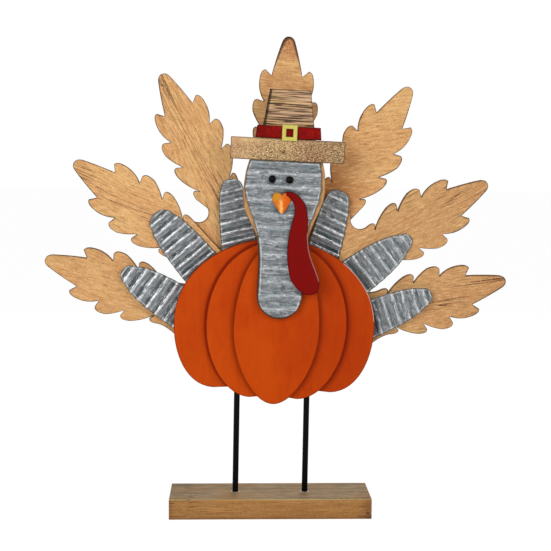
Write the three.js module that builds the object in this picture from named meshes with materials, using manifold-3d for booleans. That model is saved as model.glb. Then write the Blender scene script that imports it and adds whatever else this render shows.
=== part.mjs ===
// A thanksgiving turkey figure. Oak-leaf boards and corrugated metal feathers fan out behind a pumpkin
// of three stacked boards. A neck board with a corrugated facing carries the face and the hat, and two
// rods hold the whole figure above a wooden block.
// Millimetres, +Z up, the front looks towards -Y. The origin is the middle of the block's underside.
import * as THREE from 'three';
import { mergeVertices } from 'three/addons/utils/BufferGeometryUtils.js';
import Module from 'manifold-3d';

const wasm = await Module();
wasm.setup();

// Clearances
const glueLine = 0.3; // between pieces that lie on each other
const holeClearance = 0.3; // all round a rod, a screw or a nail in its hole
const cutOverrun = 2; // how far a cutter runs past the face it opens

// Block and rods
const blockWidth = 160;
const blockDepth = 50;
const blockHeight = 16;
const rodHoleDepth = 10;
const rodDiameter = 4.7;
const rodSpacing = 55.9;
const rodOffset = 0.2; // the pair of rods stands this far right of the block's middle
const rodLean = THREE.MathUtils.degToRad(0.8); // clockwise, seen from the front
const legLength = 76.8; // rod that shows between the block and the pumpkin
const rodGrip = 36; // rod hidden in the pumpkin's groove

// The figure's place on its rods
const hubOffset = 2.3; // the fan's hub stands this far right of the block's middle
const leanAngle = THREE.MathUtils.degToRad(2.6); // clockwise, seen from the front

// Board thicknesses
const grooveFloor = 0.9; // wood left in front of the rod grooves
const panelThickness = 6;
const leafThickness = 5;
const neckThickness = 6;
const hatThickness = 6;
const buckleThickness = 2.5;
const wattleThickness = 3;

// Pumpkin panels, measured from the hub. Shares place the curves' control points.
const pumpkinOffset = 1.5;
const pumpkinPanels = {
  back: {
    offset: 0, halfWidth: 80.3, topHeight: 55, beltHeight: -14, bottomHeight: -66.5, dipHeight: 4,
    lobeShare: 0.598, crownShare: 0.473, cheekShare: 0.638, jawShare: 0.533, chinShare: 0.847,
  },
  middle: {
    offset: 1.5, halfWidth: 56, topHeight: 54, beltHeight: -14, bottomHeight: -72, dipHeight: 3,
    lobeShare: 0.393, crownShare: 0.5, cheekShare: 0.632, jawShare: 0.524, chinShare: 0.714,
  },
  front: {
    offset: 1.3, halfWidth: 34.2, topHeight: 53, beltHeight: -16, bottomHeight: -75.7, dipHeight: 0,
    lobeShare: 0, crownShare: 0.614, cheekShare: 0.522, jawShare: 0.475, chinShare: 0.468,
  },
};

// Leaf boards. A row of shares runs down one side of the blade, as length and half width.
const bladeLength = 114.4; // tip to waist
const bladeHalfWidth = 26;
const bladeTipShares = [[0, 0.154], [0.048, 0.213], [0.14, 0.346]];
// Each lobe has its notch, the front of its tip, the corner it rounds, its shoulder, and the bend
// that leads on to the next notch.
const lobeShares = [
  [[0.271, 0.472], [0.232, 0.664], [0.238, 0.849], [0.343, 0.833], [0.406, 0.802]],
  [[0.451, 0.657], [0.438, 0.870], [0.444, 1.043], [0.524, 0.988], [0.587, 0.880]],
  [[0.643, 0.664], [0.628, 0.858], [0.633, 1.003], [0.699, 0.932], [0.783, 0.802]],
  [[0.850, 0.500], [0.828, 0.636], [0.829, 0.765], [0.888, 0.719], [0.944, 0.664]],
];
const stemHalfWidth = 11.7;
const footCorner = 4;
const coveRadius = 7.9;
const coveSweep = THREE.MathUtils.degToRad(50); // how far the cove runs on past square
const webRise = 4.6; // from the cove's middle to the web's tip, along the leaf
const webReach = 10.4; // and sideways

// Feet run from the blade's waist to the foot's end. The stem narrows near the waist, and the foot
// has its full half width for a stretch before its end. The lowest leaves meet a drop below the hub.
const topFoot = {
  stemLength: 20.6, stemHalfWidth, stretch: 11, halfWidth: 16, length: 56.6, hubDrop: 0,
};
const middleFoot = {
  stemLength: 23.2, stemHalfWidth, stretch: 10, halfWidth: 27, length: 55.6, hubDrop: 0,
};
const lowerFoot = {
  stemLength: 5.6, stemHalfWidth: 22.5, stretch: 34, halfWidth: 22.5, length: 49.6, hubDrop: 29.7,
};

// Webs join a leaf to its neighbour on the counter-clockwise side. The cove's middle lies short of
// the blade's waist and out from its middle line.
const leftWeb = { waistGap: 2.6, coveOffset: 21.4 };
const rightWeb = { waistGap: 11.4, coveOffset: 26.5 };

// Turns are counter-clockwise from straight up, in degrees. Each waist lies a share of the radius from
// the hub, and each middle line passes the hub by a share of the blade's half width.
const waistRadius = 90;
const leaves = [
  { place: 'top', turn: -0.2, waistShare: 1.1156, sideShare: 0.038, layer: 'top', foot: topFoot },
  {
    place: 'upper_left', turn: 28.4, waistShare: 1.0122, sideShare: 0, layer: 'rear', foot: topFoot,
    web: leftWeb,
  },
  {
    place: 'middle_left', turn: 56.6, waistShare: 0.9056, sideShare: -0.008, layer: 'mid',
    foot: middleFoot,
  },
  {
    place: 'lower_left', turn: 72.6, waistShare: 0.8822, sideShare: 0.031, layer: 'rear',
    foot: lowerFoot,
  },
  { place: 'upper_right', turn: -29, waistShare: 1.0289, sideShare: 0.035, layer: 'rear', foot: topFoot },
  {
    place: 'middle_right', turn: -56.8, waistShare: 0.9389, sideShare: 0.058, layer: 'mid',
    foot: middleFoot, web: rightWeb,
  },
  {
    place: 'lower_right', turn: -72.3, waistShare: 0.9256, sideShare: 0.031, layer: 'rear',
    foot: lowerFoot,
  },
];

// Corrugated sheet
const sheetThickness = 0.5;
const waveHeight = 2.1;
const featherPitch = 8.3;
const facingPitch = 10.4;
const waveSteps = 8; // straight facets along one wave

// Metal feathers. Each tip lies at a bearing from the hub, and each feather has its own turn, the skew
// of its ridges and the layer under its nail head. Shares are of the reach, length and half width.
const metalReach = 120;
const metalLength = 62;
const metalHalfWidth = 17;
const featherTipBendShare = 0.3;
const featherFullShare = 0.95;
const tipShoulderShare = 1.15;
const featherNailShare = 0.95;
const blankShare = 2; // the corrugated blank against the feather cut from it
const metalFeathers = [
  {
    place: 'upper_left', bearing: 21.2, turn: 10, skew: 3, under: 'rear',
    reachShare: 0.9006, lengthShare: 1.065, widthShare: 0.85, tipShare: 0.47,
  },
  {
    place: 'middle_left', bearing: 54.3, turn: 42.6, skew: 0, under: 'mid',
    reachShare: 1.0038, lengthShare: 1, widthShare: 1, tipShare: 0.559,
  },
  {
    place: 'lower_left', bearing: 79.1, turn: 59.7, skew: 0, under: 'sheet',
    reachShare: 1.0345, lengthShare: 0.968, widthShare: 1, tipShare: 0.412,
  },
  {
    place: 'upper_right', bearing: -27, turn: -11.8, skew: -8.5, under: 'rear',
    reachShare: 0.8959, lengthShare: 0.903, widthShare: 0.776, tipShare: 0.5,
  },
  {
    place: 'middle_right', bearing: -60.4, turn: -51.3, skew: 0, under: 'mid',
    reachShare: 1.0334, lengthShare: 1, widthShare: 0.971, tipShare: 0.324,
  },
  {
    place: 'lower_right', bearing: -82.6, turn: -64.3, skew: 0, under: 'sheet',
    reachShare: 1.0714, lengthShare: 0.968, widthShare: 0.9, tipShare: 0.353,
  },
];

// Neck board and facing. Rows are height and half width, down from the top of the board.
const neckOffset = 3.6;
const neckTop = 126.7;
const neckLength = 133.3;
const headHalfWidth = 31.8;
const neckEndRadius = 17.6;
const neckShares = [
  [0, 0.85], [0.073, 0.9], [0.149, 0.975], [0.26, 1], [0.35, 0.9], [0.425, 0.765],
  [0.493, 0.66], [0.545, 0.607], [0.669, 0.553],
];
const facingInset = 1.3;
const facingShift = -0.7;
const facingNailOffset = 6.1;
const facingNailHeight = 19.8;

// Face
const eyeSpacing = 13.5;
const eyeOffset = 0;
const eyeHeight = 102.5;
const eyeRadius = 2.85;
const eyeDome = 1.9;
const eyeShankLength = 6.5;
const beakOffset = 0.4;
const beakNotchHeight = 89.6;
const beakLength = 13.4;
const beakFlapWidth = 8.4;
const beakFold = THREE.MathUtils.degToRad(40);
const beakThickness = 1;
const beakSink = 0.7; // how far the flaps' edges reach past the facing's crests
const beakTurn = THREE.MathUtils.degToRad(4);
const beakFlapShares = [
  [0.1, 0.13], [0.42, 0.25], [0.78, 0.16], [1, -0.12], [0.93, -0.42], [0.62, -0.76], [0.2, -1],
];
const wattleOffset = 7.1; // left end of the wattle, from the hub
const wattleHeight = 14; // lowest point of the wattle
const wattleLength = 79.4;
const wattleWidth = 26.8;
const wattleShares = [
  [0.03, 0.985], [0.16, 1], [0.33, 0.965], [0.47, 0.895], [0.556, 0.815], [0.585, 0.7], [0.6, 0.54],
  [0.683, 0.394], [0.895, 0.224], [0.985, 0.14], [1, 0.08], [0.92, 0.022], [0.705, 0], [0.45, 0.03],
  [0.194, 0.122], [0.075, 0.247], [0.022, 0.383], [0.03, 0.54], [0.09, 0.67], [0.172, 0.79],
  [0.15, 0.88], [0.06, 0.93],
];

// Hat
const hatOffset = 4;
const brimWidth = 88.4;
const brimHeight = 17;
const brimBottom = 116.8;
const brimNailOffset = 0.8;
const brimNailHeight = 123.8;
const bandTopWidth = 48.9;
const bandBottomWidth = 50.9;
const bandHeight = 9.5;
const crownTopWidth = 31.8;
const crownBottomWidth = 44.5;
const crownTop = 171.8;
const buckleOffset = 0.65; // from the hat's middle line
const buckleWidth = 11.8;
const buckleHeight = 12.3;
const buckleWindow = 5.2;
const buckleOverlap = 1.8; // how far the buckle hangs over the brim

// Fasteners
const screw = { radius: 1.6, headRadius: 3.2, headHeight: 2, point: 3, sides: 12 };
const nail = { radius: 0.6, headRadius: 1.3, headHeight: 0.7, point: 1.2, sides: 8 };
const biteDepth = 4.5; // how far a fastener goes into the last board that it holds
const footScrewInset = 6; // from the end of a leaf's foot to its screw
const panelScrewShares = { left: [-0.51, 0.53], right: [0.51, 0.53], top: [0, -0.07] };

// Roundness of what is turned or bent
const rodSides = 20;
const curveSteps = 4;
const panelSteps = 12;
const neckSteps = 3;

const tones = {
  leaf: { color: 0xd9a56c, roughness: 0.75, metalness: 0 },
  hatWood: { color: 0xc79a6b, roughness: 0.85, metalness: 0 },
  block: { color: 0xb9874b, roughness: 0.7, metalness: 0 },
  boardEdge: { color: 0xc99a62, roughness: 0.75, metalness: 0 },
  galvanised: { color: 0x9aa0a4, roughness: 0.45, metalness: 0.85 },
  pumpkin: { color: 0xc1460d, roughness: 0.45, metalness: 0 },
  beak: { color: 0xf08c1e, roughness: 0.5, metalness: 0 },
  wattle: { color: 0x820f0f, roughness: 0.45, metalness: 0 },
  band: { color: 0x730a0f, roughness: 0.6, metalness: 0 },
  buckle: { color: 0xe1d76e, roughness: 0.5, metalness: 0 },
  black: { color: 0x141414, roughness: 0.4, metalness: 0.2 },
  screw: { color: 0xa8a8a4, roughness: 0.35, metalness: 0.9 },
};

// Depths of the stack, towards the viewer, from the rods' middle
const slotHalf = rodDiameter / 2 + holeClearance;
const middleThickness = 2 * slotHalf + grooveFloor;
const middleRear = -slotHalf;
const middleFront = middleRear + middleThickness;
const frontRear = middleFront + glueLine;
const neckRear = frontRear + panelThickness + glueLine;
const neckFront = neckRear + neckThickness;
const faceRear = neckFront + glueLine; // the facing, the brim and the band lie here
const sheetDepth = waveHeight + sheetThickness;
const trimRear = faceRear + sheetDepth + glueLine; // the eyes, the beak and the wattle lie here
const brimFront = faceRear + hatThickness;
const backRear = middleRear - glueLine - panelThickness;
const sheetFront = backRear - glueLine;
const sheetRear = sheetFront - sheetDepth;
const layerRears = {
  sheet: sheetRear,
  top: sheetFront - leafThickness,
  mid: sheetRear - glueLine - leafThickness,
  rear: sheetRear - 2 * glueLine - 2 * leafThickness,
};

const hubHeight = blockHeight + legLength - pumpkinPanels.middle.bottomHeight;

// Solids
function solidOf(geometry) {
  const bare = geometry.index ? geometry.toNonIndexed() : geometry.clone();
  bare.deleteAttribute('normal');
  bare.deleteAttribute('uv');
  const merged = mergeVertices(bare);
  const vertProperties = new Float32Array(merged.attributes.position.array);
  const triVerts = new Uint32Array(merged.index.array);
  return new wasm.Manifold(new wasm.Mesh({ numProp: 3, vertProperties, triVerts }));
}

function geometryOf(solid) {
  const mesh = solid.getMesh();
  const geometry = new THREE.BufferGeometry();
  geometry.setAttribute('position', new THREE.BufferAttribute(new Float32Array(mesh.vertProperties), 3));
  geometry.setIndex(new THREE.BufferAttribute(new Uint32Array(mesh.triVerts), 1));
  geometry.computeVertexNormals();
  return geometry;
}

function plate(shape, rear, thickness) {
  const geometry = new THREE.ExtrudeGeometry(shape, {
    depth: thickness, bevelEnabled: false, curveSegments: panelSteps,
  });
  return geometry.translate(0, 0, rear);
}

function pieceOf(name, geometry, tone) {
  const mesh = new THREE.Mesh(geometry, new THREE.MeshStandardMaterial(tones[tone]));
  mesh.name = name;
  return mesh;
}

// A place given by its way out and its side step along a turned middle line, in degrees
function placeOn(turn, side, out) {
  const angle = THREE.MathUtils.degToRad(turn);
  return [
    side * Math.cos(angle) - out * Math.sin(angle),
    side * Math.sin(angle) + out * Math.cos(angle),
  ];
}

// Every screw and nail has the face under its head, its length, and its place from the hub
function rearFastener(name, pin, seat, side, height) {
  return { name, pin, seat, length: backRear - seat + biteDepth, side, height };
}

function frontFastener(name, seat, lastFront, side, height) {
  return { name, pin: nail, seat, length: seat - lastFront + biteDepth, side, height, front: true };
}

const leafScrews = leaves.filter(({ layer }) => layer !== 'mid');
const fasteners = [
  ...leafScrews.map(({ place, turn, waistShare, sideShare, layer, foot }) => {
    const footEnd = waistShare * waistRadius - foot.length;
    const [x, y] = placeOn(turn, sideShare * bladeHalfWidth, footEnd + footScrewInset);
    return rearFastener(`leaf_screw_${place}`, screw, layerRears[layer], x, y - foot.hubDrop);
  }),
  ...metalFeathers.map(({ place, bearing, turn, reachShare, lengthShare, under }) => {
    const [tipX, tipY] = placeOn(bearing, 0, reachShare * metalReach);
    const [x, y] = placeOn(turn, 0, -featherNailShare * lengthShare * metalLength);
    return rearFastener(`feather_nail_${place}`, nail, layerRears[under], tipX + x, tipY + y);
  }),
  ...Object.entries(panelScrewShares).map(([place, [out, down]]) => {
    const { offset, halfWidth, bottomHeight } = pumpkinPanels.front;
    const x = pumpkinOffset + offset + out * halfWidth;
    return {
      ...rearFastener(`panel_screw_${place}`, screw, backRear, x, down * bottomHeight),
      length: frontRear - backRear + biteDepth,
    };
  }),
  frontFastener('facing_nail', trimRear, neckFront, facingNailOffset, facingNailHeight),
  frontFastener('brim_nail', brimFront, neckFront, brimNailOffset, brimNailHeight),
];

const eyes = [
  { name: 'eye_left', side: eyeOffset - eyeSpacing / 2 },
  { name: 'eye_right', side: eyeOffset + eyeSpacing / 2 },
];

// A screw or a nail is turned about its length, from its head to its point
function fastenerPiece({ name, pin, seat, length, side, height, front }) {
  const profile = [
    new THREE.Vector2(0, -length),
    new THREE.Vector2(pin.radius, pin.point - length),
    new THREE.Vector2(pin.radius, 0),
    new THREE.Vector2(pin.headRadius, 0),
    new THREE.Vector2(pin.headRadius, pin.headHeight),
    new THREE.Vector2(0, pin.headHeight),
  ];
  const geometry = new THREE.LatheGeometry(profile, pin.sides).rotateX(Math.PI / 2);
  if (!front) {
    geometry.rotateY(Math.PI);
  }
  geometry.translate(side, height, front ? seat + glueLine : seat - glueLine);
  return pieceOf(name, geometry, 'screw');
}

// The hole that a pin runs in, from its seat to just past its point
function holeFor({ pin, seat, length, side, height, front }) {
  const depth = length + cutOverrun + holeClearance;
  const radius = pin.radius + holeClearance;
  const cutter = new THREE.CylinderGeometry(radius, radius, depth, pin.sides);
  cutter.rotateX(Math.PI / 2);
  const direction = front ? -1 : 1;
  const middle = seat + direction * (depth / 2 - cutOverrun);
  return solidOf(cutter.translate(side, height, middle));
}

const figurePlace = new THREE.Group();
figurePlace.position.set(hubOffset, 0, hubHeight);
figurePlace.rotation.y = leanAngle;
const figure = new THREE.Group(); // in here x is sideways, y is up and z comes towards the viewer
figure.rotation.x = Math.PI / 2;
figurePlace.add(figure);
figurePlace.updateMatrixWorld(true);

const rodBottom = blockHeight - rodHoleDepth + glueLine;
const rodLength = blockHeight + legLength + rodGrip - rodBottom;

// The groove that takes one rod in the rear face of the middle panel
function rodSlot(side) {
  const height = legLength + rodGrip + holeClearance;
  const slot = new THREE.BoxGeometry(2 * slotHalf, 2 * slotHalf + cutOverrun, height);
  slot.translate(0, cutOverrun / 2, height / 2).rotateY(rodLean);
  slot.translate(rodOffset + side * rodSpacing / 2, 0, blockHeight);
  slot.applyMatrix4(figure.matrixWorld.clone().invert());
  return solidOf(slot);
}

const eyeHoles = eyes.map(({ side }) => (
  holeFor({ pin: nail, seat: trimRear, length: eyeShankLength, side, height: eyeHeight, front: true })
));
const rearHoles = fasteners.filter(({ front }) => !front).map(holeFor);
const frontHoles = [...fasteners.filter(({ front }) => front).map(holeFor), ...eyeHoles];
const allHoles = [...frontHoles, ...rearHoles];

function drilled(solid, holes) {
  let rest = solid;
  for (const hole of holes) {
    rest = rest.subtract(hole);
  }
  return geometryOf(rest);
}

function board(name, shape, rear, thickness, tone) {
  return pieceOf(name, drilled(solidOf(plate(shape, rear, thickness)), allHoles), tone);
}

// Block with a blind hole for each rod
function blockPiece() {
  const block = new THREE.BoxGeometry(blockWidth, blockDepth, blockHeight);
  let solid = solidOf(block.translate(0, 0, blockHeight / 2));
  for (const side of [-1, 1]) {
    const height = rodHoleDepth + cutOverrun;
    const drill = new THREE.CylinderGeometry(slotHalf, slotHalf, height, rodSides);
    drill.rotateX(Math.PI / 2);
    drill.translate(rodOffset + side * rodSpacing / 2, 0, blockHeight - rodHoleDepth + height / 2);
    solid = solid.subtract(solidOf(drill));
  }
  return pieceOf('base_block', geometryOf(solid), 'block');
}

function rodPiece(name, side) {
  const rod = new THREE.CylinderGeometry(rodDiameter / 2, rodDiameter / 2, rodLength, rodSides);
  rod.rotateX(Math.PI / 2).translate(0, 0, rodBottom + rodLength / 2 - blockHeight).rotateY(rodLean);
  const piece = pieceOf(name, rod, 'black');
  piece.position.set(rodOffset + side * rodSpacing / 2, 0, blockHeight);
  return piece;
}

// A pumpkin panel: one smooth lobe down each side, with a shallow dip between them at the bottom
function panelShape(panel) {
  const { offset, halfWidth, topHeight: top, beltHeight: belt, bottomHeight: bottom, dipHeight } = panel;
  const { lobeShare, crownShare, cheekShare, jawShare, chinShare } = panel;
  const middle = pumpkinOffset + offset;
  const cheek = belt + cheekShare * (top - belt);
  const jaw = belt - jawShare * (belt - bottom);
  const shape = new THREE.Shape();
  shape.moveTo(middle, top);
  shape.bezierCurveTo(
    middle - crownShare * halfWidth, top, middle - halfWidth, cheek, middle - halfWidth, belt,
  );
  shape.bezierCurveTo(
    middle - halfWidth, jaw, middle - chinShare * halfWidth, bottom,
    middle - lobeShare * halfWidth, bottom,
  );
  if (lobeShare > 0) {
    shape.quadraticCurveTo(middle, bottom + dipHeight, middle + lobeShare * halfWidth, bottom);
  }
  shape.bezierCurveTo(
    middle + chinShare * halfWidth, bottom, middle + halfWidth, jaw, middle + halfWidth, belt,
  );
  shape.bezierCurveTo(
    middle + halfWidth, cheek, middle + crownShare * halfWidth, top, middle, top,
  );
  return shape;
}

function middlePanelPiece() {
  let solid = solidOf(plate(panelShape(pumpkinPanels.middle), middleRear, middleThickness));
  for (const side of [-1, 1]) {
    solid = solid.subtract(rodSlot(side));
  }
  return pieceOf('pumpkin_middle_panel', drilled(solid, rearHoles), 'pumpkin');
}

// One side of a leaf as length from the tip and half width, down to the foot's end
function leafSide(foot, web) {
  const place = ([along, out]) => [along * bladeLength, out * bladeHalfWidth];
  const side = new THREE.Path();
  side.moveTo(0, 0);
  const [tipBend, tipEnd, tipRun] = bladeTipShares.map(place);
  side.quadraticCurveTo(...tipBend, ...tipEnd);
  side.quadraticCurveTo(...tipRun, ...place(lobeShares[0][0]));
  lobeShares.forEach((lobe, index) => {
    const [, front, corner, shoulder, bend] = lobe.map(place);
    side.lineTo(...front);
    side.quadraticCurveTo(...corner, ...shoulder);
    if (index + 1 < lobeShares.length) {
      side.quadraticCurveTo(...bend, ...place(lobeShares[index + 1][0]));
    } else if (web) {
      const cove = bladeLength - web.waistGap;
      side.absarc(cove, web.coveOffset, coveRadius, -Math.PI / 2, coveSweep, false);
      side.lineTo(cove + webRise, web.coveOffset + webReach);
    } else {
      side.quadraticCurveTo(...bend, bladeLength + foot.stemLength, foot.stemHalfWidth);
    }
  });
  const end = bladeLength + foot.length;
  side.lineTo(end - foot.stretch, foot.halfWidth);
  side.lineTo(end - footCorner, foot.halfWidth);
  side.quadraticCurveTo(end, foot.halfWidth, end, foot.halfWidth - footCorner);
  return side.getPoints(curveSteps);
}

function leafPiece({ place, turn, waistShare, sideShare, layer, foot, web }) {
  const left = leafSide(foot, web).map((point) => new THREE.Vector2(-point.y, -point.x));
  const right = leafSide(foot).map((point) => new THREE.Vector2(point.y, -point.x));
  const shape = new THREE.Shape([...left, ...right.slice(1).reverse()]);
  const flat = plate(shape, layerRears[layer], leafThickness);
  flat.translate(sideShare * bladeHalfWidth, waistShare * waistRadius + bladeLength, 0);
  flat.rotateZ(THREE.MathUtils.degToRad(turn));
  flat.translate(0, -foot.hubDrop, 0);
  return pieceOf(`leaf_${place}`, drilled(solidOf(flat), rearHoles), 'leaf');
}

// A corrugated sheet that covers a width by a length from y = 0 up, ridges along x
function corrugated(width, length, pitch, rear) {
  const waves = Math.ceil(length / pitch);
  const profile = [];
  for (let step = 0; step <= waves * waveSteps; step += 1) {
    const rise = waveHeight / 2 * (1 - Math.cos(2 * Math.PI * step / waveSteps));
    profile.push(new THREE.Vector2(step * pitch / waveSteps, rise));
  }
  const far = profile.map((point) => new THREE.Vector2(point.x, point.y + sheetThickness));
  const shape = new THREE.Shape([...profile, ...far.reverse()]);
  const sheet = new THREE.ExtrudeGeometry(shape, { depth: width, bevelEnabled: false });
  // the profile's run becomes y and its rise z, and the sheet's width lies across x
  sheet.applyMatrix4(new THREE.Matrix4().set(
    0, 0, 1, -width / 2,
    1, 0, 0, 0,
    0, 1, 0, rear,
    0, 0, 0, 1,
  ));
  return sheet;
}

// A feather from its tip at y = 0 down to its foot: a round tip, then sides that open to the foot
function featherShape(length, halfWidth, tipRadius) {
  const bend = featherTipBendShare * length;
  const full = featherFullShare * halfWidth;
  const shoulder = tipShoulderShare * tipRadius;
  const shape = new THREE.Shape();
  shape.moveTo(0, 0);
  shape.quadraticCurveTo(-tipRadius, 0, -shoulder, -tipRadius);
  shape.quadraticCurveTo(-full, -bend, -halfWidth, -length);
  shape.lineTo(halfWidth, -length);
  shape.quadraticCurveTo(full, -bend, shoulder, -tipRadius);
  shape.quadraticCurveTo(tipRadius, 0, 0, 0);
  return shape;
}

function metalFeatherPiece({
  place, bearing, turn, skew, reachShare, lengthShare, widthShare, tipShare,
}) {
  const length = lengthShare * metalLength;
  const outline = featherShape(length, widthShare * metalHalfWidth, tipShare * metalHalfWidth);
  const blank = blankShare * length;
  const sheet = corrugated(blank, blank, featherPitch, sheetRear);
  sheet.translate(0, -(blank + length) / 2, 0);
  sheet.rotateZ(THREE.MathUtils.degToRad(skew));
  const cutter = plate(outline, sheetRear - cutOverrun, sheetDepth + 2 * cutOverrun);
  const solid = solidOf(sheet).intersect(solidOf(cutter));
  const flat = geometryOf(solid);
  flat.rotateZ(THREE.MathUtils.degToRad(turn));
  const [x, y] = placeOn(bearing, 0, reachShare * metalReach);
  flat.translate(x, y, 0);
  return pieceOf(`metal_feather_${place}`, drilled(solidOf(flat), rearHoles), 'galvanised');
}

// The neck's outline, drawn in by an inset and ended at a given top
function neckShape(inset, shift, top) {
  const middle = neckOffset + shift;
  const bottom = neckTop - neckLength;
  const turnHeight = bottom + neckEndRadius;
  const right = neckShares.map(([down, out]) => (
    new THREE.Vector2(middle + out * headHalfWidth - inset, neckTop - down * neckLength)
  ));
  right.push(new THREE.Vector2(middle + neckEndRadius - inset, turnHeight));
  const curve = new THREE.SplineCurve(right);
  const edge = curve.getPoints(neckSteps * right.length).filter(({ y }) => y < top);
  const shape = new THREE.Shape();
  shape.moveTo(edge[0].x, top);
  edge.forEach(({ x, y }) => shape.lineTo(x, y));
  shape.absarc(middle, turnHeight, neckEndRadius - inset, 0, -Math.PI, true);
  edge.reverse().forEach(({ x, y }) => shape.lineTo(2 * middle - x, y));
  shape.lineTo(2 * middle - edge[edge.length - 1].x, top);
  return shape;
}

function facingPiece() {
  const top = brimBottom - glueLine;
  const sheet = corrugated(brimWidth, neckLength, facingPitch, faceRear);
  sheet.translate(neckOffset, top - neckLength, 0);
  const outline = neckShape(facingInset, facingShift, top);
  const cutter = plate(outline, faceRear - cutOverrun, sheetDepth + 2 * cutOverrun);
  const solid = solidOf(sheet).intersect(solidOf(cutter));
  return pieceOf('neck_facing', drilled(solid, frontHoles), 'galvanised');
}

// An eye is a domed tack with its shank through the facing into the neck board
function eyePiece({ name, side }) {
  const profile = new THREE.Path();
  profile.moveTo(0, -eyeShankLength);
  profile.lineTo(nail.radius, nail.point - eyeShankLength);
  profile.lineTo(nail.radius, 0);
  profile.lineTo(eyeRadius, 0);
  profile.quadraticCurveTo(eyeRadius, eyeDome, 0, eyeDome);
  const eye = new THREE.LatheGeometry(profile.getPoints(curveSteps), rodSides).rotateX(Math.PI / 2);
  return pieceOf(name, eye.translate(side, eyeHeight, trimRear), 'black');
}

// The beak is one sheet folded along its ridge: two flaps of a heart that lean back from the fold
function beakFlap(side) {
  const edge = beakFlapShares.map(([out, up]) => (
    new THREE.Vector2(side * out * beakFlapWidth, up * beakLength)
  ));
  const flap = new THREE.Shape();
  flap.moveTo(0, 0);
  flap.splineThru(edge);
  flap.lineTo(0, -beakLength);
  const flat = new THREE.ExtrudeGeometry(flap, {
    depth: beakThickness, bevelEnabled: false, curveSegments: curveSteps,
  });
  flat.translate(0, 0, -beakThickness);
  return solidOf(flat.rotateY(side * beakFold));
}

function beakPiece() {
  const beak = geometryOf(beakFlap(1).add(beakFlap(-1)));
  beak.rotateZ(beakTurn);
  beak.computeBoundingBox();
  beak.translate(beakOffset, beakNotchHeight, trimRear - beakSink - beak.boundingBox.min.z);
  return pieceOf('beak', beak, 'beak');
}

function wattlePiece() {
  const corners = wattleShares.map(([out, up]) => (
    new THREE.Vector3(out * wattleWidth, up * wattleLength, 0)
  ));
  const loop = new THREE.CatmullRomCurve3(corners, true).getPoints(neckSteps * corners.length);
  const shape = new THREE.Shape(loop.slice(1).map(({ x, y }) => new THREE.Vector2(x, y)));
  const wattle = plate(shape, trimRear, wattleThickness);
  return pieceOf('wattle', wattle.translate(wattleOffset, wattleHeight, 0), 'wattle');
}

// A board with level edges, given its width at the bottom and at the top
function taperedShape(middle, bottomWidth, topWidth, bottom, height) {
  return new THREE.Shape([
    new THREE.Vector2(middle - bottomWidth / 2, bottom),
    new THREE.Vector2(middle + bottomWidth / 2, bottom),
    new THREE.Vector2(middle + topWidth / 2, bottom + height),
    new THREE.Vector2(middle - topWidth / 2, bottom + height),
  ]);
}

function hatPieces() {
  const bandBottom = brimBottom + brimHeight + glueLine;
  const crownBottom = neckTop + glueLine;
  const buckleBottom = bandBottom - buckleOverlap;
  const brim = taperedShape(hatOffset, brimWidth, brimWidth, brimBottom, brimHeight);
  const band = taperedShape(hatOffset, bandBottomWidth, bandTopWidth, bandBottom, bandHeight);
  const crownHeight = crownTop - crownBottom;
  const crown = taperedShape(hatOffset, crownBottomWidth, crownTopWidth, crownBottom, crownHeight);
  const buckleMiddle = hatOffset + buckleOffset;
  const buckle = taperedShape(buckleMiddle, buckleWidth, buckleWidth, buckleBottom, buckleHeight);
  const windowBottom = buckleBottom + (buckleHeight - buckleWindow) / 2;
  buckle.holes.push(taperedShape(buckleMiddle, buckleWindow, buckleWindow, windowBottom, buckleWindow));
  return [
    board('hat_crown', crown, neckRear, neckThickness, 'hatWood'),
    board('hat_brim', brim, faceRear, hatThickness, 'hatWood'),
    board('hat_band', band, faceRear, hatThickness, 'band'),
    board('hat_buckle', buckle, brimFront + glueLine, buckleThickness, 'buckle'),
  ];
}

figure.add(
  board('pumpkin_back_panel', panelShape(pumpkinPanels.back), backRear, panelThickness, 'pumpkin'),
  middlePanelPiece(),
  board('pumpkin_front_panel', panelShape(pumpkinPanels.front), frontRear, panelThickness, 'pumpkin'),
  board('neck_board', neckShape(0, 0, neckTop), neckRear, neckThickness, 'boardEdge'),
  facingPiece(),
  ...leaves.map(leafPiece),
  ...metalFeathers.map(metalFeatherPiece),
  ...eyes.map(eyePiece),
  beakPiece(),
  wattlePiece(),
  ...hatPieces(),
  ...fasteners.map(fastenerPiece),
);

const group = new THREE.Group();
group.add(blockPiece(), rodPiece('rod_left', -1), rodPiece('rod_right', 1), figurePlace);

export default group;
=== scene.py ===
"""A thanksgiving turkey figure of wooden boards and corrugated metal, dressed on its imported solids.

Lengths in the shape tables are millimetres. In the figure's own plane x runs sideways, y up from the
hub of the fan, and w towards the viewer. Every mesh is in metres, in the frame's place.
"""
import math

import bmesh
import bpy
import numpy as np
from mathutils import Matrix


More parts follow.
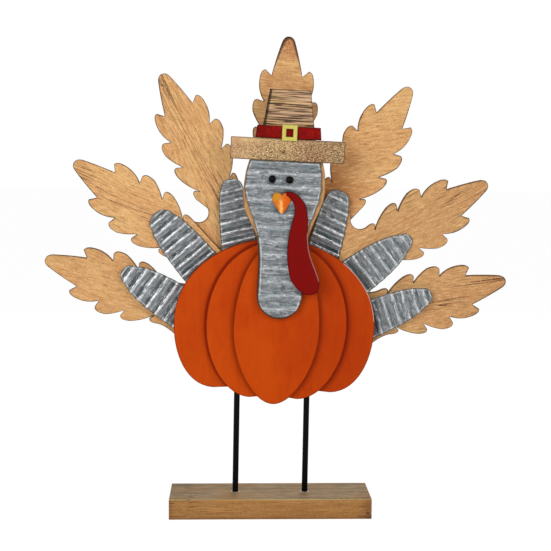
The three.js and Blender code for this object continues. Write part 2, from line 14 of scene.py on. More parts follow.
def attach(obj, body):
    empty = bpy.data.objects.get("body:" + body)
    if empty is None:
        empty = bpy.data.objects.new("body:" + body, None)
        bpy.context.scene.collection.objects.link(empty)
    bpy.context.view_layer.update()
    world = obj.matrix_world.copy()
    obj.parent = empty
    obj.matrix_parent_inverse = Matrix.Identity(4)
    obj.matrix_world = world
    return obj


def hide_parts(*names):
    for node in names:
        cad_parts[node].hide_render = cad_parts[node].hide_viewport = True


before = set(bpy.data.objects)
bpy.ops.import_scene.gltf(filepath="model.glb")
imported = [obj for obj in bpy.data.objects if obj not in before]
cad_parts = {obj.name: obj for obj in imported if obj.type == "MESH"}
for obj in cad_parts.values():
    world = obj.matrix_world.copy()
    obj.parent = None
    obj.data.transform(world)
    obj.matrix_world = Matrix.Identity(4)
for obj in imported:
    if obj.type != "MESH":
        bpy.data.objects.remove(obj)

bl_info = {
    "name": "Thanksgiving turkey figure",
    "version": (1, 0, 0),
    "blender": (4, 5, 0),
    "location": "3D View > Sidebar > Turkey",
    "description": "Boards, corrugated metal and paint of a turkey figure on a block",
    "category": "Add Mesh",
}

MM = 0.001
SHARP_ANGLE = math.radians(55)
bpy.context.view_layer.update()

# The figure's place
BLOCK_WIDTH, BLOCK_DEPTH, BLOCK_HEIGHT = 160, 50, 16
ROD_OFFSET, ROD_SPACING, ROD_LEAN = 0.2, 55.9, math.radians(0.8)
ROD_BOTTOM, ROD_TOP = -9.7, 112.8  # along the rod, from the block's top
HUB_OFFSET, HUB_HEIGHT, LEAN = 2.3, 164.8, math.radians(2.6)

# Rear and front of each layer
REAR_LEAF = (-22.45, -17.45)
MID_LEAF = (-17.15, -12.15)
TOP_LEAF = (-14.25, -9.25)
FEATHER_REAR = -11.85
BACK_PANEL = (-8.95, -2.95)
MIDDLE_PANEL = (-2.65, 3.55)
FRONT_PANEL = (3.85, 9.85)
NECK_LAYER = (10.15, 16.15)
FACE_REAR = 16.45
BRIM_LAYER = (16.45, 22.45)
TRIM_REAR = 19.35
BUCKLE_LAYER = (22.75, 25.25)

# Radii of the rounded edges that have no setting
BLOCK_EDGE, PANEL_EDGE, TRIM_EDGE, THIN_EDGE, WATTLE_EDGE = 0.35, 0.6, 0.5, 0.3, 0.7
FAR = 99  # gap of what lies nowhere near the board in front

# Pumpkin panels: middle, half width, top, belt, bottom, dip, shares for lobe, crown, cheek, jaw and chin
PUMPKIN_PANELS = {
    "back": (1.5, 80.3, 55, -14, -66.5, 4, 0.575, 0.473, 0.638, 0.533, 0.84),
    "middle": (3.0, 56, 54, -14, -72, 3, 0.33, 0.5, 0.632, 0.524, 0.69),
    "front": (2.8, 34.2, 53, -16, -75.7, 0, 0, 0.614, 0.522, 0.475, 0.468),
}
PANEL_CENTRE = -10  # height that the boards' spokes start from
PALE_OUT, PALE_LOW, PALE_HIGH = 30, -8, 38  # pale stretch of the back board's edge
MIDDLE_SEAM_SHADE, FRONT_GAP = 0.4, 4  # strength of the middle board's painted shadow, how fast the neck's painted shadow fades on the front board

# Leaves: shares of the blade's length and half width down one side
BLADE = np.array([114.4, 26.0])
BLADE_TIP = np.array([[0, 0.154], [0.048, 0.213], [0.14, 0.346]])
LOBES = np.array([
    [[0.271, 0.472], [0.232, 0.664], [0.238, 0.849], [0.343, 0.833], [0.406, 0.802]],
    [[0.451, 0.657], [0.438, 0.870], [0.444, 1.043], [0.524, 0.988], [0.587, 0.880]],
    [[0.643, 0.664], [0.628, 0.858], [0.633, 1.003], [0.699, 0.932], [0.783, 0.802]],
    [[0.850, 0.500], [0.828, 0.636], [0.829, 0.765], [0.888, 0.719], [0.944, 0.664]],
])
# Feet: stem length, stem half width, stretch, half width, length, drop below the hub
TOP_FOOT = (20.6, 11.7, 11, 16, 56.6, 0)
MIDDLE_FOOT = (23.2, 11.7, 10, 27, 55.6, 0)
LOWER_FOOT = (5.6, 22.5, 34, 22.5, 49.6, 29.7)
# Webs: the cove's middle short of the waist, and out from the middle line
LEFT_WEB = (2.6, 21.4)
RIGHT_WEB = (11.4, 26.5)
COVE_RADIUS, COVE_SWEEP, WEB_RISE, WEB_REACH = 7.9, math.radians(50), 4.6, 10.4
WAIST_RADIUS = 90
LEAF_SPOKE, WEB_SPOKE = 0.95, 1.3  # how far down a spoke starts, for each step out to its end
# Leaf: turn, waist share, side share, layer, foot, web, turn of the grain, scorch, dark marks, browning
LEAVES = {
    "top": (-0.2, 1.1156, 0.038, TOP_LEAF, TOP_FOOT, None, 86, 1.0, 0.3, 0.05),
    "upper_left": (28.4, 1.0122, 0, REAR_LEAF, TOP_FOOT, LEFT_WEB, 2, 0.2, 0.5, 0),
    "middle_left": (56.6, 0.9056, -0.008, MID_LEAF, MIDDLE_FOOT, None, 12, 0.2, 0.5, 0),
    "lower_left": (72.6, 0.8822, 0.031, REAR_LEAF, LOWER_FOOT, None, 4, 0.2, 0.4, 0.1),
    "upper_right": (-29, 1.0289, 0.035, REAR_LEAF, TOP_FOOT, None, -52, 0.15, 0.1, 0),
    "middle_right": (-56.8, 0.9389, 0.058, MID_LEAF, MIDDLE_FOOT, RIGHT_WEB, -3, 0.3, 1.0, 0.45),
    "lower_right": (-72.3, 0.9251, 0.031, REAR_LEAF, LOWER_FOOT, None, -8, 0.5, 0.7, 0.4),
}

# Metal feathers: bearing of the tip, turn, skew of the ridges, reach, length, half width, tip radius,
# pitch of the ridges, the first ridge from the tip, and how strong the ridges' painted light and shade
# are at the tip and the foot
FEATHERS = {
    "upper_left": (21.2, 10, 6, 108.07, 66.03, 14.45, 7.99, 8.0, 9.4, 0.3, 1.1),
    "middle_left": (54.3, 42.6, 0, 120.46, 62, 17, 9.5, 7.85, 5.65, 0.8, 1.0),
    "lower_left": (79.1, 59.7, -3, 124.14, 60.02, 17, 7.0, 8.9, 5.9, 0.8, 1.0),
    "upper_right": (-27, -11.8, -10, 107.51, 55.99, 13.19, 8.5, 8.25, 7.2, 0.25, 1.3),
    "middle_right": (-60.4, -51.3, 2, 124.01, 62, 16.51, 5.5, 8.0, 6.2, 0.15, 0.6),
    "lower_right": (-82.6, -64.3, -5, 128.57, 60.02, 15.3, 6.0, 8.4, 5.8, 0.55, 0.2),
}

# Neck: height down from the top and half width, as shares
NECK_MIDDLE, NECK_TOP, NECK_LENGTH, HEAD_HALF_WIDTH, NECK_END = 3.6, 126.7, 133.3, 31.8, 17.6
NECK_SIDE = np.array([
    [0, 0.85], [0.073, 0.9], [0.149, 0.975], [0.26, 1], [0.35, 0.9], [0.425, 0.765],
    [0.493, 0.66], [0.545, 0.607], [0.669, 0.553],
])
FACING_TOP, FACING_INSET, FACING_SHIFT, FACING_RIDGE = 116.5, 1.3, -0.7, 107
# Swellings of the neck: how far, height, reach
BOARD_LEFT, BOARD_RIGHT = (2.7, 75, 13.5), (-0.7, 88, 24)
SHEET_LEFT, SHEET_RIGHT = (-0.8, 79, 10.5), (-2.1, 88, 24)
SHEET_FLARE, FLARE_TOP, FLARE_HEIGHT = 1.5, 44, 16
FEATHER_COLUMNS, FEATHER_STEP, FACING_COLUMNS, FACING_STEP, FACING_SHINE = 36, 0.45, 44, 0.5, 0.12

# Face
EYES = {"left": -6.75, "right": 6.75}
EYE_HEIGHT = 102.5
TACK_SHANK, TACK_RIM, TACK_DOME = [(0, -6.5), (0.6, -5.3), (0.6, 0)], 0.2, 1.7
BEAK_MIDDLE, BEAK_HEIGHT, BEAK_LENGTH, BEAK_FLAP = 1.2, 90.2, 14, 8.9
BEAK_FOLD, BEAK_TURN, BEAK_SINK, BEAK_THICKNESS = math.radians(31), 2.6, 0.7, 1
BEAK_SIDE = np.array([
    [0, 0], [0.12, 0.1], [0.45, 0.17], [0.8, 0.1], [1, -0.13], [0.95, -0.31], [0.66, -0.57], [0.38, -0.84],
    [0.14, -0.98],
])
WATTLE_LEFT, WATTLE_BOTTOM, WATTLE_SIZE, WATTLE_THICKNESS = 7.1, 14, (26.8, 79.4), 3
WATTLE_LOOP = np.array([
    [0.02, 1], [0.16, 0.988], [0.3, 0.955], [0.43, 0.905], [0.52, 0.84], [0.57, 0.74], [0.6, 0.54],
    [0.683, 0.394], [0.895, 0.224], [0.985, 0.14], [1, 0.08], [0.92, 0.022], [0.705, 0], [0.45, 0.03],
    [0.194, 0.122], [0.075, 0.247], [0.022, 0.383], [0.03, 0.54], [0.09, 0.67], [0.165, 0.77],
    [0.17, 0.84], [0.1, 0.905], [0, 0.945], [-0.137, 0.968], [-0.15, 0.992],
])
WATTLE_LOWEST = 12  # row of the loop at the wattle's lowest point
WATTLE_PALE = (0.14, 0.6, 0.55)  # from, to and how pale its right edge gets

# Hat boards: bottom width, top width, bottom, top
HAT_MIDDLE = 4
CROWN = (44.5, 31.8, 127.0, 171.8)
BRIM = (88.4, 88.4, 116.8, 133.8)
BAND = (50.9, 48.9, 134.1, 143.6)
BUCKLE_MIDDLE = 4.65
BUCKLE = (11.8, 11.8, 132.3, 144.6)
BUCKLE_WINDOW = (5.4, 5.4, 135.4, 141.5)

# Fasteners: shank radius, head radius, head height, point, how far it bites into the last board
SCREW = (1.6, 3.2, 2, 3, 4.5)
NAIL = (0.6, 1.3, 0.7, 1.2, 4.5)
PANEL_SCREWS = {"left": (-0.51, 0.53), "right": (0.51, 0.53), "top": (0, -0.07)}
FEATHER_SEATS = {"upper": REAR_LEAF[0], "middle": MID_LEAF[0], "lower": FEATHER_REAR}
FACING_NAIL, BRIM_NAIL = (6.1, 19.8), (0.8, 123.8)
CLEARANCE = 0.3
RECESS_HALF, RECESS_REACH = 0.42, 0.62  # half width in millimetres, reach as a share of the head

# Camera and lamps, in metres and degrees
LENS, SENSOR = 80.363, 36
CAMERA_PLACE, CAMERA_YAW, CAMERA_PITCH, CAMERA_ROLL = (-0.02994, -0.97279, 0.28036), 1.983, 5.254, 0.328
LAMP_PLACES = {"left": (-0.5, -1, 0.46), "right": (0.5, -1, 0.46), "rear": (0.2, 0.9, 1)}
LAMP_TARGET, LAMP_SIZE = (0, 0, 0.2), 0.6
FLOOR_RADII = (0, 300, 800, 2000, 5000, 12000)


# Curves in the plane
def curve(count, *corners):
    """Points from the first corner towards the last, which is left out. Each corner counts by its share,
    C(n,k) t^k (1-t)^(n-k): two corners give a line, three a quadratic, four a cubic."""
    t = np.arange(count)[:, None] / count
    n = len(corners) - 1
    return sum(math.comb(n, k) * t**k * (1 - t) ** (n - k) * np.asarray(p) for k, p in enumerate(corners))


def spline(points, count, closed=False):
    """Smooth cubic curve through the points: its slope at each is half the step across it."""
    if closed:
        before, here, after, beyond = (np.roll(points, shift, 0)[:, None] for shift in (1, 0, -1, -2))
    else:
        padded = np.vstack([points[:1], points, points[-1:]])[:, None]
        before, here, after, beyond = padded[:-3], padded[1:-2], padded[2:-1], padded[3:]
    t = (np.arange(count) / count)[None, :, None]
    slope_in, slope_out = (after - before) / 2, (beyond - here) / 2
    curve = (2 * t**3 - 3 * t**2 + 1) * here + (t**3 - 2 * t**2 + t) * slope_in
    curve = curve + (3 * t**2 - 2 * t**3) * after + (t**3 - t**2) * slope_out
    curve = curve.reshape(-1, 2)
    return curve if closed else np.vstack([curve, points[-1:]])


def turned(points, degrees):
    """The points turned counter-clockwise about the origin."""
    c, s = math.cos(math.radians(degrees)), math.sin(math.radians(degrees))
    return np.stack([points[..., 0] * c - points[..., 1] * s, points[..., 0] * s + points[..., 1] * c], -1)


def mirrored(right, left=None):
    """A closed ring down the right side and back up the left; the sides share their first and last points."""
    left = right * (-1, 1) if left is None else left
    return np.vstack([right, left[-2:0:-1]])


def paired(spine):
    """The inner points of a mirrored ring: those of its right side, then the same again on the way back."""
    return np.vstack([spine, spine[-2:0:-1]])


def raised(plane, third):
    """Points of a plane with a third number each."""
    return np.concatenate([plane, np.broadcast_to(third, plane.shape[:-1])[..., None]], -1)


def swelling(height, far, middle, reach):
    """How far a side swells at a height: by the bell curve exp(-d^2), d the reaches from its middle."""
    return far * np.exp(-(((height - middle) / reach) ** 2))


# Places
def on_figure(points):
    """Figure plane to world: x and y are turned by the lean about the hub, and w becomes -Y."""
    x, y, w = points[..., 0], points[..., 1], points[..., 2]
    c, s = math.cos(LEAN), math.sin(LEAN)
    return np.stack([HUB_OFFSET + x * c + y * s, -w, HUB_HEIGHT - x * s + y * c], -1)


def placed(turn, move):
    """A place on the figure: turned in its plane, then moved."""
    return lambda points: on_figure(raised(turned(points[..., :2], turn) + move, points[..., 2]))


def upright(points):
    """Plan to world: what lies on the ground plane."""
    return points


# Surfaces
def ring_normals(ring):
    """Outward unit normals of a closed ring, at right angles to the step across each point."""
    step = np.roll(ring, -1, 0) - np.roll(ring, 1, 0)
    normal = np.stack([step[:, 1], -step[:, 0]], -1)
    area = (ring[:, 0] * np.roll(ring[:, 1], -1) - np.roll(ring[:, 0], -1) * ring[:, 1]).sum()
    return normal / np.linalg.norm(normal, axis=1, keepdims=True) * np.sign(area)


def rim_distance(points, ring):
    """Distance from each point to the nearest stretch of the closed ring."""
    start, step = ring, np.roll(ring, -1, 0) - ring
    length = np.maximum((step**2).sum(1), 1e-12)
    flat = points.reshape(-1, 2)
    along = ((flat[:, None] - start) * step).sum(-1) / length
    nearest = start + np.clip(along, 0, 1)[..., None] * step
    return np.sqrt(((flat[:, None] - nearest) ** 2).sum(-1)).min(1).reshape(points.shape[:-1])


def rim_gap(points, ring):
    """Distance from each point outwards to the closed ring, less than 0 inside it."""
    start, end = ring, np.roll(ring, -1, 0)
    x, y = points[..., :1], points[..., 1:]
    beside = (start[:, 1] > y) != (end[:, 1] > y)
    rise = np.where(beside, end[:, 1] - start[:, 1], 1)
    crossed = beside & (x < start[:, 0] + (y - start[:, 1]) / rise * (end[:, 0] - start[:, 0]))
    return np.where(crossed.sum(-1) % 2, -1, 1) * rim_distance(points, ring)


FACE_SHARES = np.array([0, 0.25, 0.5, 0.68, 0.8, 0.88, 0.93, 0.96, 0.98, 0.992, 1])
ARC = np.radians([22.5, 45, 67.5, 90])


def board(ring, spine, layer, rounding):
    """A board on a grid: one way runs round its ring, the other from the inner points of the front face
    out to the ring drawn in by the rounding, over a quarter circle, down the side, and back likewise.
    Returns the points and their rim: distance in from the edge on a face, less than 0 on the side."""
    rear, front = layer
    normal = ring_normals(ring)
    inset = ring - normal * rounding
    face = spine + (inset - spine) * FACE_SHARES[:, None, None]
    over = inset + normal * (rounding * np.sin(ARC))[:, None, None]
    drop = rounding * (1 - np.cos(ARC))[:, None]
    points = np.concatenate([
        raised(face, front), raised(over, front - drop), raised(over[::-1], rear + drop[::-1]),
        raised(face[::-1], rear),
    ])
    depth = rim_distance(face, ring)
    side = np.repeat(-np.concatenate([drop, (front - rear) - drop[::-1]]), len(ring), 1)
    return points, np.concatenate([depth, side, depth[::-1]])


def lathed(profile, sides):
    """A profile of radius and height turned about the w axis: circles stacked along it."""
    profile = np.asarray(profile, float)
    angle = np.arange(sides) * 2 * np.pi / sides
    x = profile[:, :1] * np.cos(angle)
    y = profile[:, :1] * np.sin(angle)
    return np.stack([x, y, np.repeat(profile[:, 1:], sides, 1)], -1)


def corrugated(edge, columns, ridges, rear, seed):
    """A waved sheet on a grid: one way steps down its height, the other runs across its front from left
    to right and back across its rear. The edge gives height, left and right, and the ridges their lean in
    degrees, the first one and the pitch. The sheet rises by (1 + cos) / 2 of the waves at a place, and its
    slope is their sine, more than 0 below a ridge. Returns the points and the attributes."""
    lean, first, pitch = ridges
    tall, thickness = sizes().wave_height / MM, sizes().sheet_thickness / MM
    level, left, right = (column[:, None] for column in edge.T)
    x = left + (right - left) * np.linspace(0, 1, columns)
    y = np.repeat(level, columns, 1)
    angle = 2 * np.pi * (x * math.tan(math.radians(lean)) - y - first) / pitch
    rise, slope = (1 + np.cos(angle)) / 2, np.sin(angle)
    rim = np.minimum(np.minimum(x - left, right - x), np.minimum(level.max() - y, y - level.min()))

    def wrapped(values):
        loop = np.concatenate([values, values[:, ::-1]], 1)
        return np.concatenate([loop[:1], loop, loop[-1:]])

    depth = np.concatenate([rear + rise * tall + thickness, (rear + rise * tall)[:, ::-1]], 1)
    middle = (depth + depth[:, ::-1]) / 2
    points = np.stack([wrapped(x), wrapped(y), np.concatenate([middle[:1], depth, middle[-1:]])], -1)
    flat = raised(turned(points[..., :2], -lean) + seed, wrapped(rim))
    return points, {"rise": wrapped(rise), "slope": wrapped(slope), "flat": flat}


def mesh_of(name, points, place, looped=False, **attributes):
    """One closed mesh from a grid of points in millimetres. Looped: the grid's rows close on themselves."""
    rows, count = points.shape[:2]
    index = np.arange(rows * count).reshape(rows, count)
    upper, lower = (index, np.roll(index, -1, 0)) if looped else (index[:-1], index[1:])
    quads = np.stack([upper, lower, np.roll(lower, -1, 1), np.roll(upper, -1, 1)], -1)
    mesh = bpy.data.meshes.new(name)
    mesh.from_pydata(place(points).reshape(-1, 3) * MM, [], quads.reshape(-1, 4).tolist())
    for key, value in attributes.items():
        kind, slot, unit = ("FLOAT_VECTOR", "vector", MM) if value.ndim == 3 else ("FLOAT", "value", 1)
        layer = mesh.attributes.new(key, kind, "POINT")
        layer.data.foreach_set(slot, (value.astype(np.float32) * unit).ravel())
    work = bmesh.new()
    work.from_mesh(mesh)
    bmesh.ops.remove_doubles(work, verts=work.verts, dist=1e-7)
    bmesh.ops.recalc_face_normals(work, faces=work.faces)
    work.to_mesh(mesh)
    work.free()
    mesh.shade_smooth()
    mesh.set_sharp_from_angle(angle=SHARP_ANGLE)
    return mesh


def show(mesh, material, node):
    """Puts a finished mesh in the scene in place of its solid."""
    piece = bpy.data.objects.new(mesh.name, mesh)
    bpy.context.scene.collection.objects.link(piece)
    mesh.materials.append(material)
    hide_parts(node)
    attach(piece, "root")


def stand(name, data, place, ahead, roll=0):
    """Puts a camera or a lamp in the scene, looking ahead and rolled."""
    ahead = ahead / np.linalg.norm(ahead)
    level = np.cross(ahead, (0, 0, 1))
    level /= np.linalg.norm(level)
    right = math.cos(roll) * level + math.sin(roll) * np.cross(level, ahead)
    turn = np.eye(4)
    turn[:3, :3] = np.stack([right, np.cross(right, ahead), -ahead], 1)
    turn[:3, 3] = place
    holder = bpy.data.objects.new(name, data)
    holder.matrix_world = Matrix(turn.tolist())
    bpy.context.scene.collection.objects.link(holder)
    return holder


# Shader arithmetic
def arithmetic(operation, reflected=False):
    """An operator between two values, which adds a Math node."""
    def method(signal, other):
        pair = {0: other, 1: signal} if reflected else {0: signal, 1: other}
        return signal.finish.node("Math", pair, operation=operation)

    return method


class Signal:
    """A socket that carries a value. Arithmetic on it adds Math nodes."""

    def __init__(self, finish, socket):
        self.finish = finish
        self.socket = socket

    __add__, __radd__ = arithmetic("ADD"), arithmetic("ADD", True)
    __sub__, __rsub__ = arithmetic("SUBTRACT"), arithmetic("SUBTRACT", True)
    __mul__, __rmul__ = arithmetic("MULTIPLY"), arithmetic("MULTIPLY", True)
    __truediv__, __rtruediv__ = arithmetic("DIVIDE"), arithmetic("DIVIDE", True)
    __pow__, __rpow__ = arithmetic("POWER"), arithmetic("POWER", True)


class Finish:
    """One material and its colour so far. Every node but the arithmetic comes from node()."""

    def __init__(self, name, base=None, world=False):
        self.material = (bpy.data.worlds if world else bpy.data.materials).new(name)
        self.material.use_nodes = True
        self.tree = self.material.node_tree
        self.tree.nodes.clear()
        self.base = base

    def node(self, kind, values, output=0, **settings):
        """A shader node: its settings first, then its sockets' values or links. Returns one output."""
        made = self.tree.nodes.new("ShaderNode" + kind)
        for key, value in settings.items():
            setattr(made, key, value)
        for key, value in values.items():
            socket = self.found(made.inputs, key)
            if isinstance(value, Signal):
                self.tree.links.new(value.socket, socket)
            else:
                socket.default_value = value
        return Signal(self, self.found(made.outputs, output)) if made.outputs else None

    @staticmethod
    def found(sockets, key):
        """A socket by its number, its identifier or its name."""
        if isinstance(key, int):
            return sockets[key]
        return next(s for s in sockets if key in (s.identifier, s.name))

    def attribute(self, name, output="Vector"):
        return self.node("Attribute", {}, output, attribute_name=name)

    def blade(self):
        return self.parts(self.attribute("blade"))

    def amounts(self, *names):
        return [self.attribute(name, "Fac") for name in names]

    def place(self):
        return self.node("TexCoord", {}, "Object")

    def open_view(self):
        """1 where a ray comes from the camera, a reflection or glass, and 0 where it gathers light."""
        rays = self.node("LightPath", {}).socket.node.outputs
        seen = [Signal(self, rays[f"Is {kind} Ray"]) for kind in ("Camera", "Glossy", "Transmission")]
        return self.larger(seen[0], seen[1] + seen[2])

    def larger(self, first, second):
        return self.node("Math", {0: first, 1: second}, operation="MAXIMUM")

    def parts(self, vector):
        made = self.node("SeparateXYZ", {"Vector": vector}).socket.node
        return [Signal(self, output) for output in made.outputs]

    def noise(self, vector, factors, detail=4, roughness=0.55, distortion=0, shift=(0, 0, 0)):
        """Clouds of about 0 to 1, from the vector times one factor on each axis, plus a shift."""
        scaled = self.node("VectorMath", {0: vector, 1: factors, 2: shift}, operation="MULTIPLY_ADD")
        values = {"Vector": scaled, "Scale": 1, "Detail": detail, "Roughness": roughness}
        return self.node("TexNoise", {**values, "Distortion": distortion})

    def ramp(self, value, low, high, start=0.0, end=1.0):
        """Goes smoothly from start to end as the value goes from low to high."""
        values = {"Value": value, "From Min": low, "From Max": high, "To Min": start, "To Max": end}
        return self.node("MapRange", values, interpolation_type="SMOOTHSTEP", clamp=True)

    def mix(self, share, first, second):
        """A colour between two."""
        first, second = (c if isinstance(c, Signal) else (*c[:3], 1.0) for c in (first, second))
        values = {"Factor_Float": share, "A_Color": first, "B_Color": second}
        return self.node("Mix", values, "Result_Color", data_type="RGBA")

    def cover(self, share, *over):
        """Lays a colour over the base by a share: a colour, or three screen numbers from 0 to 255."""
        self.base = self.mix(share, self.base, tone(*over) if len(over) == 3 else over[0])

    def layer(self, value, low, high, share, *over):
        """Lays a colour over the base, up to the share, as the value goes from low to high."""
        self.cover(self.ramp(value, low, high) * share, *over)

    def bump(self, height, distance, strength=1.0):
        """A normal from a height of 0 to 1, that stands for the distance in metres."""
        return self.node("Bump", {"Height": height, "Distance": distance, "Strength": strength})

    def surface(self, rough, normal, specular=0.5, metallic=0.0):
        """The shader with the base colour, and the material's output."""
        shader = self.node("BsdfPrincipled", {
            "Base Color": self.base, "Roughness": rough, "Normal": normal, "Specular IOR Level": specular,
            "Metallic": metallic,
        })
        self.node("OutputMaterial", {"Surface": shader})
        return self.material


def tone(red, green, blue):
    """Linear colour of a screen colour given from 0 to 255."""
    screen = [channel / 255 for channel in (red, green, blue)]
    return tuple(c / 12.92 if c <= 0.04045 else ((c + 0.055) / 1.055) ** 2.4 for c in screen)


# Finishes
def leaf_wood(tint):
    """Thin pale board: fibres, dark dashes and long cracks along the grain, clouds, speckled scorch at
    the tip, burnt edges, and a painted shade of the head and hat on the leaf beside the neck. Its
    attributes say how scorched, marked and brown a leaf is."""
    f = Finish("leaf_wood", tint)
    grain = f.attribute("grain")
    burn, marks, brown = f.amounts("burn", "marks", "brown")
    across, along, rim = f.blade()
    fibres = f.noise(grain, (900, 130, 300), 4, 0.75)
    grit = f.noise(grain, (1000, 640, 300), 2, 0.7, shift=(5, 1, 8))
    bands = f.noise(grain, (300, 11, 120), 3, 0.6, 0.2, shift=(3, 7, 1))
    dashes = f.noise(grain, (1000, 48, 400), 2, 0.55, 0.25, shift=(6, 2, 4))
    splits = f.noise(grain, (150, 5, 60), 2, 0.5, 0.3, shift=(2, 4, 7))
    clouds = f.noise(grain, (38, 16, 20), 3, shift=(9, 2, 5))
    region = f.noise(grain, (34, 22, 0), 2, shift=(1, 8, 3))
    f.cover(f.ramp(clouds, 0.32, 0.7), 226, 180, 120)
    f.cover(f.ramp(clouds, 0.62, 0.4) * (burn * 0.35 + 0.1), 190, 132, 86)
    f.cover(brown, 184, 138, 92)
    # Painted shade of the head and hat on the leaf to the right of the neck
    x, _, z = f.parts(f.place())
    beside = ((x - 0.042) ** 2 + (z - 0.262) ** 2) ** 0.5 + (clouds - 0.5) * 0.03
    f.layer(beside, 0.04, 0.01, 0.7, 174, 108, 54)
    f.layer(fibres, 0.48, 0.66, 0.65, 168, 114, 68)
    f.layer(fibres, 0.46, 0.34, 0.6, 246, 206, 148)
    f.layer(grit, 0.54, 0.68, 0.45, 160, 102, 64)
    f.cover(f.ramp(bands, 0.56, 0.72) * (marks * 0.2), 164, 110, 66)
    dash = f.ramp(dashes, 0.59, 0.66) * f.ramp(region, 0.42, 0.58) * f.ramp(along, 0.004, 0.04, 0.2, 1)
    f.cover(dash * marks * 0.6, 96, 60, 42)
    middle = f.ramp((across + (region - 0.5) * 0.02) ** 2, 0.00007, 0.00003) * f.ramp(grit, 0.34, 0.46)
    split = f.ramp((splits - 0.5) ** 2, 0.0003, 0.00005) * middle
    f.cover(split * f.ramp(marks, 0.3, 0.6) * 0.9, 84, 52, 40)
    tip = f.ramp(along + (clouds - 0.5) * 0.03, 0.004, 0.026, 1, 0)
    scorch = burn * burn
    f.cover(tip * scorch * 0.55, 196, 112, 70)
    specks = f.ramp(grit, 0.47, 0.54) * f.ramp(across, 0.004, -0.006, 0.25, 1)
    f.cover(specks * (tip * scorch * 0.9), 44, 30, 28)
    width = f.ramp(region, 0.4, 0.68, 0.0006, 0.0013) + scorch * f.ramp(along, 0.003, 0.03, 0.0022, 0)
    edge = f.ramp((rim + (grit - 0.5) * 0.0016) / width, 0.25, 1, 1, 0)
    edge = edge * f.ramp(rim, -0.0016, -0.0006, 0.45, 1)
    burnt = f.mix(tip * scorch, tone(74, 54, 44), tone(36, 26, 26))
    f.cover(edge * 0.88, burnt)
    return f.surface(
        f.ramp(fibres, 0.3, 0.7, 0.68, 0.84), f.bump(fibres * 0.5 + (1 - dash) * 0.5, 0.0003, 0.7), 0.15)


def hat_wood(name, tint, grooved):
    """Weathered board: thin level grooves and a dark left edge, or specks that thicken to the lower right."""
    f = Finish(name, tint)
    grain = f.attribute("grain")
    x, y, rim = f.blade()
    fine = f.noise(grain, (1100, 60, 300), 4, 0.7, 0.3, shift=(2, 5, 3))
    specks = f.noise(grain, (2000, 900, 500), 3, 0.75, 0.2, shift=(4, 4, 0))
    patches = f.noise(grain, (60, 28, 30), 3, shift=(2, 6, 1))
    if grooved:
        f.cover(f.ramp(patches, 0.38, 0.6), 212, 172, 136)
        f.layer(fine, 0.47, 0.65, 0.45, 150, 112, 76)
        grooves = f.noise(grain, (250, 7, 60), 3, 0.55, 0.15)
        thin = f.noise(grain, (1150, 34, 300), 2, 0.6, 0.2, shift=(8, 1, 6))
        side = x - y * 0.141 + (specks - 0.5) * 0.001
        cut = f.larger(f.ramp((grooves - 0.5) ** 2, 0.0008, 0.0001), f.ramp(thin, 0.58, 0.65) * 0.6)
        cut = f.larger(cut, f.ramp((grooves - 0.6) ** 2, 0.0006, 0.0001))
        cut = f.larger(cut, f.ramp((grooves - 0.4) ** 2, 0.0006, 0.0001)) * f.ramp(specks, 0.3, 0.42)
        f.cover(cut * 0.9, 52, 36, 32)
        f.layer(side, -0.0336, -0.0346, 0.85, 48, 34, 36)
    else:
        f.cover(f.ramp(patches, 0.38, 0.6) * 0.7, 204, 150, 112)
        f.layer(fine, 0.45, 0.65, 0.4, 150, 110, 72)
        f.layer(specks, 0.47, 0.38, 0.7, 246, 216, 172)
        dense = f.ramp(x * 0.8 - y + (patches - 0.5) * 0.05, -0.164, -0.132, 0.15, 1)
        large = f.noise(grain, (1500, 520, 500), 3, 0.75, 0.2, shift=(4, 4, 0))
        heavy = f.ramp(x * 0.4 - y, -0.132, -0.108)
        cut = f.larger(f.ramp(specks, 0.505, 0.565) * dense, f.ramp(large, 0.535, 0.585) * heavy)
        f.cover(cut * 0.84, 58, 42, 32)
    edge = f.ramp(rim + (specks - 0.5) * 0.0018, 0.0002, 0.0011, 1, 0) * f.ramp(rim, -0.0016, -0.0006, 0.5, 1)
    f.cover(edge * 0.6, 58, 44, 36)
    height = 1 - cut * 0.8 - f.ramp(fine, 0.45, 0.65) * 0.2
    return f.surface(
        f.ramp(specks, 0.3, 0.7, 0.72, 0.88), f.bump(height, 0.0005 if grooved else 0.0003, 0.8), 0.1)


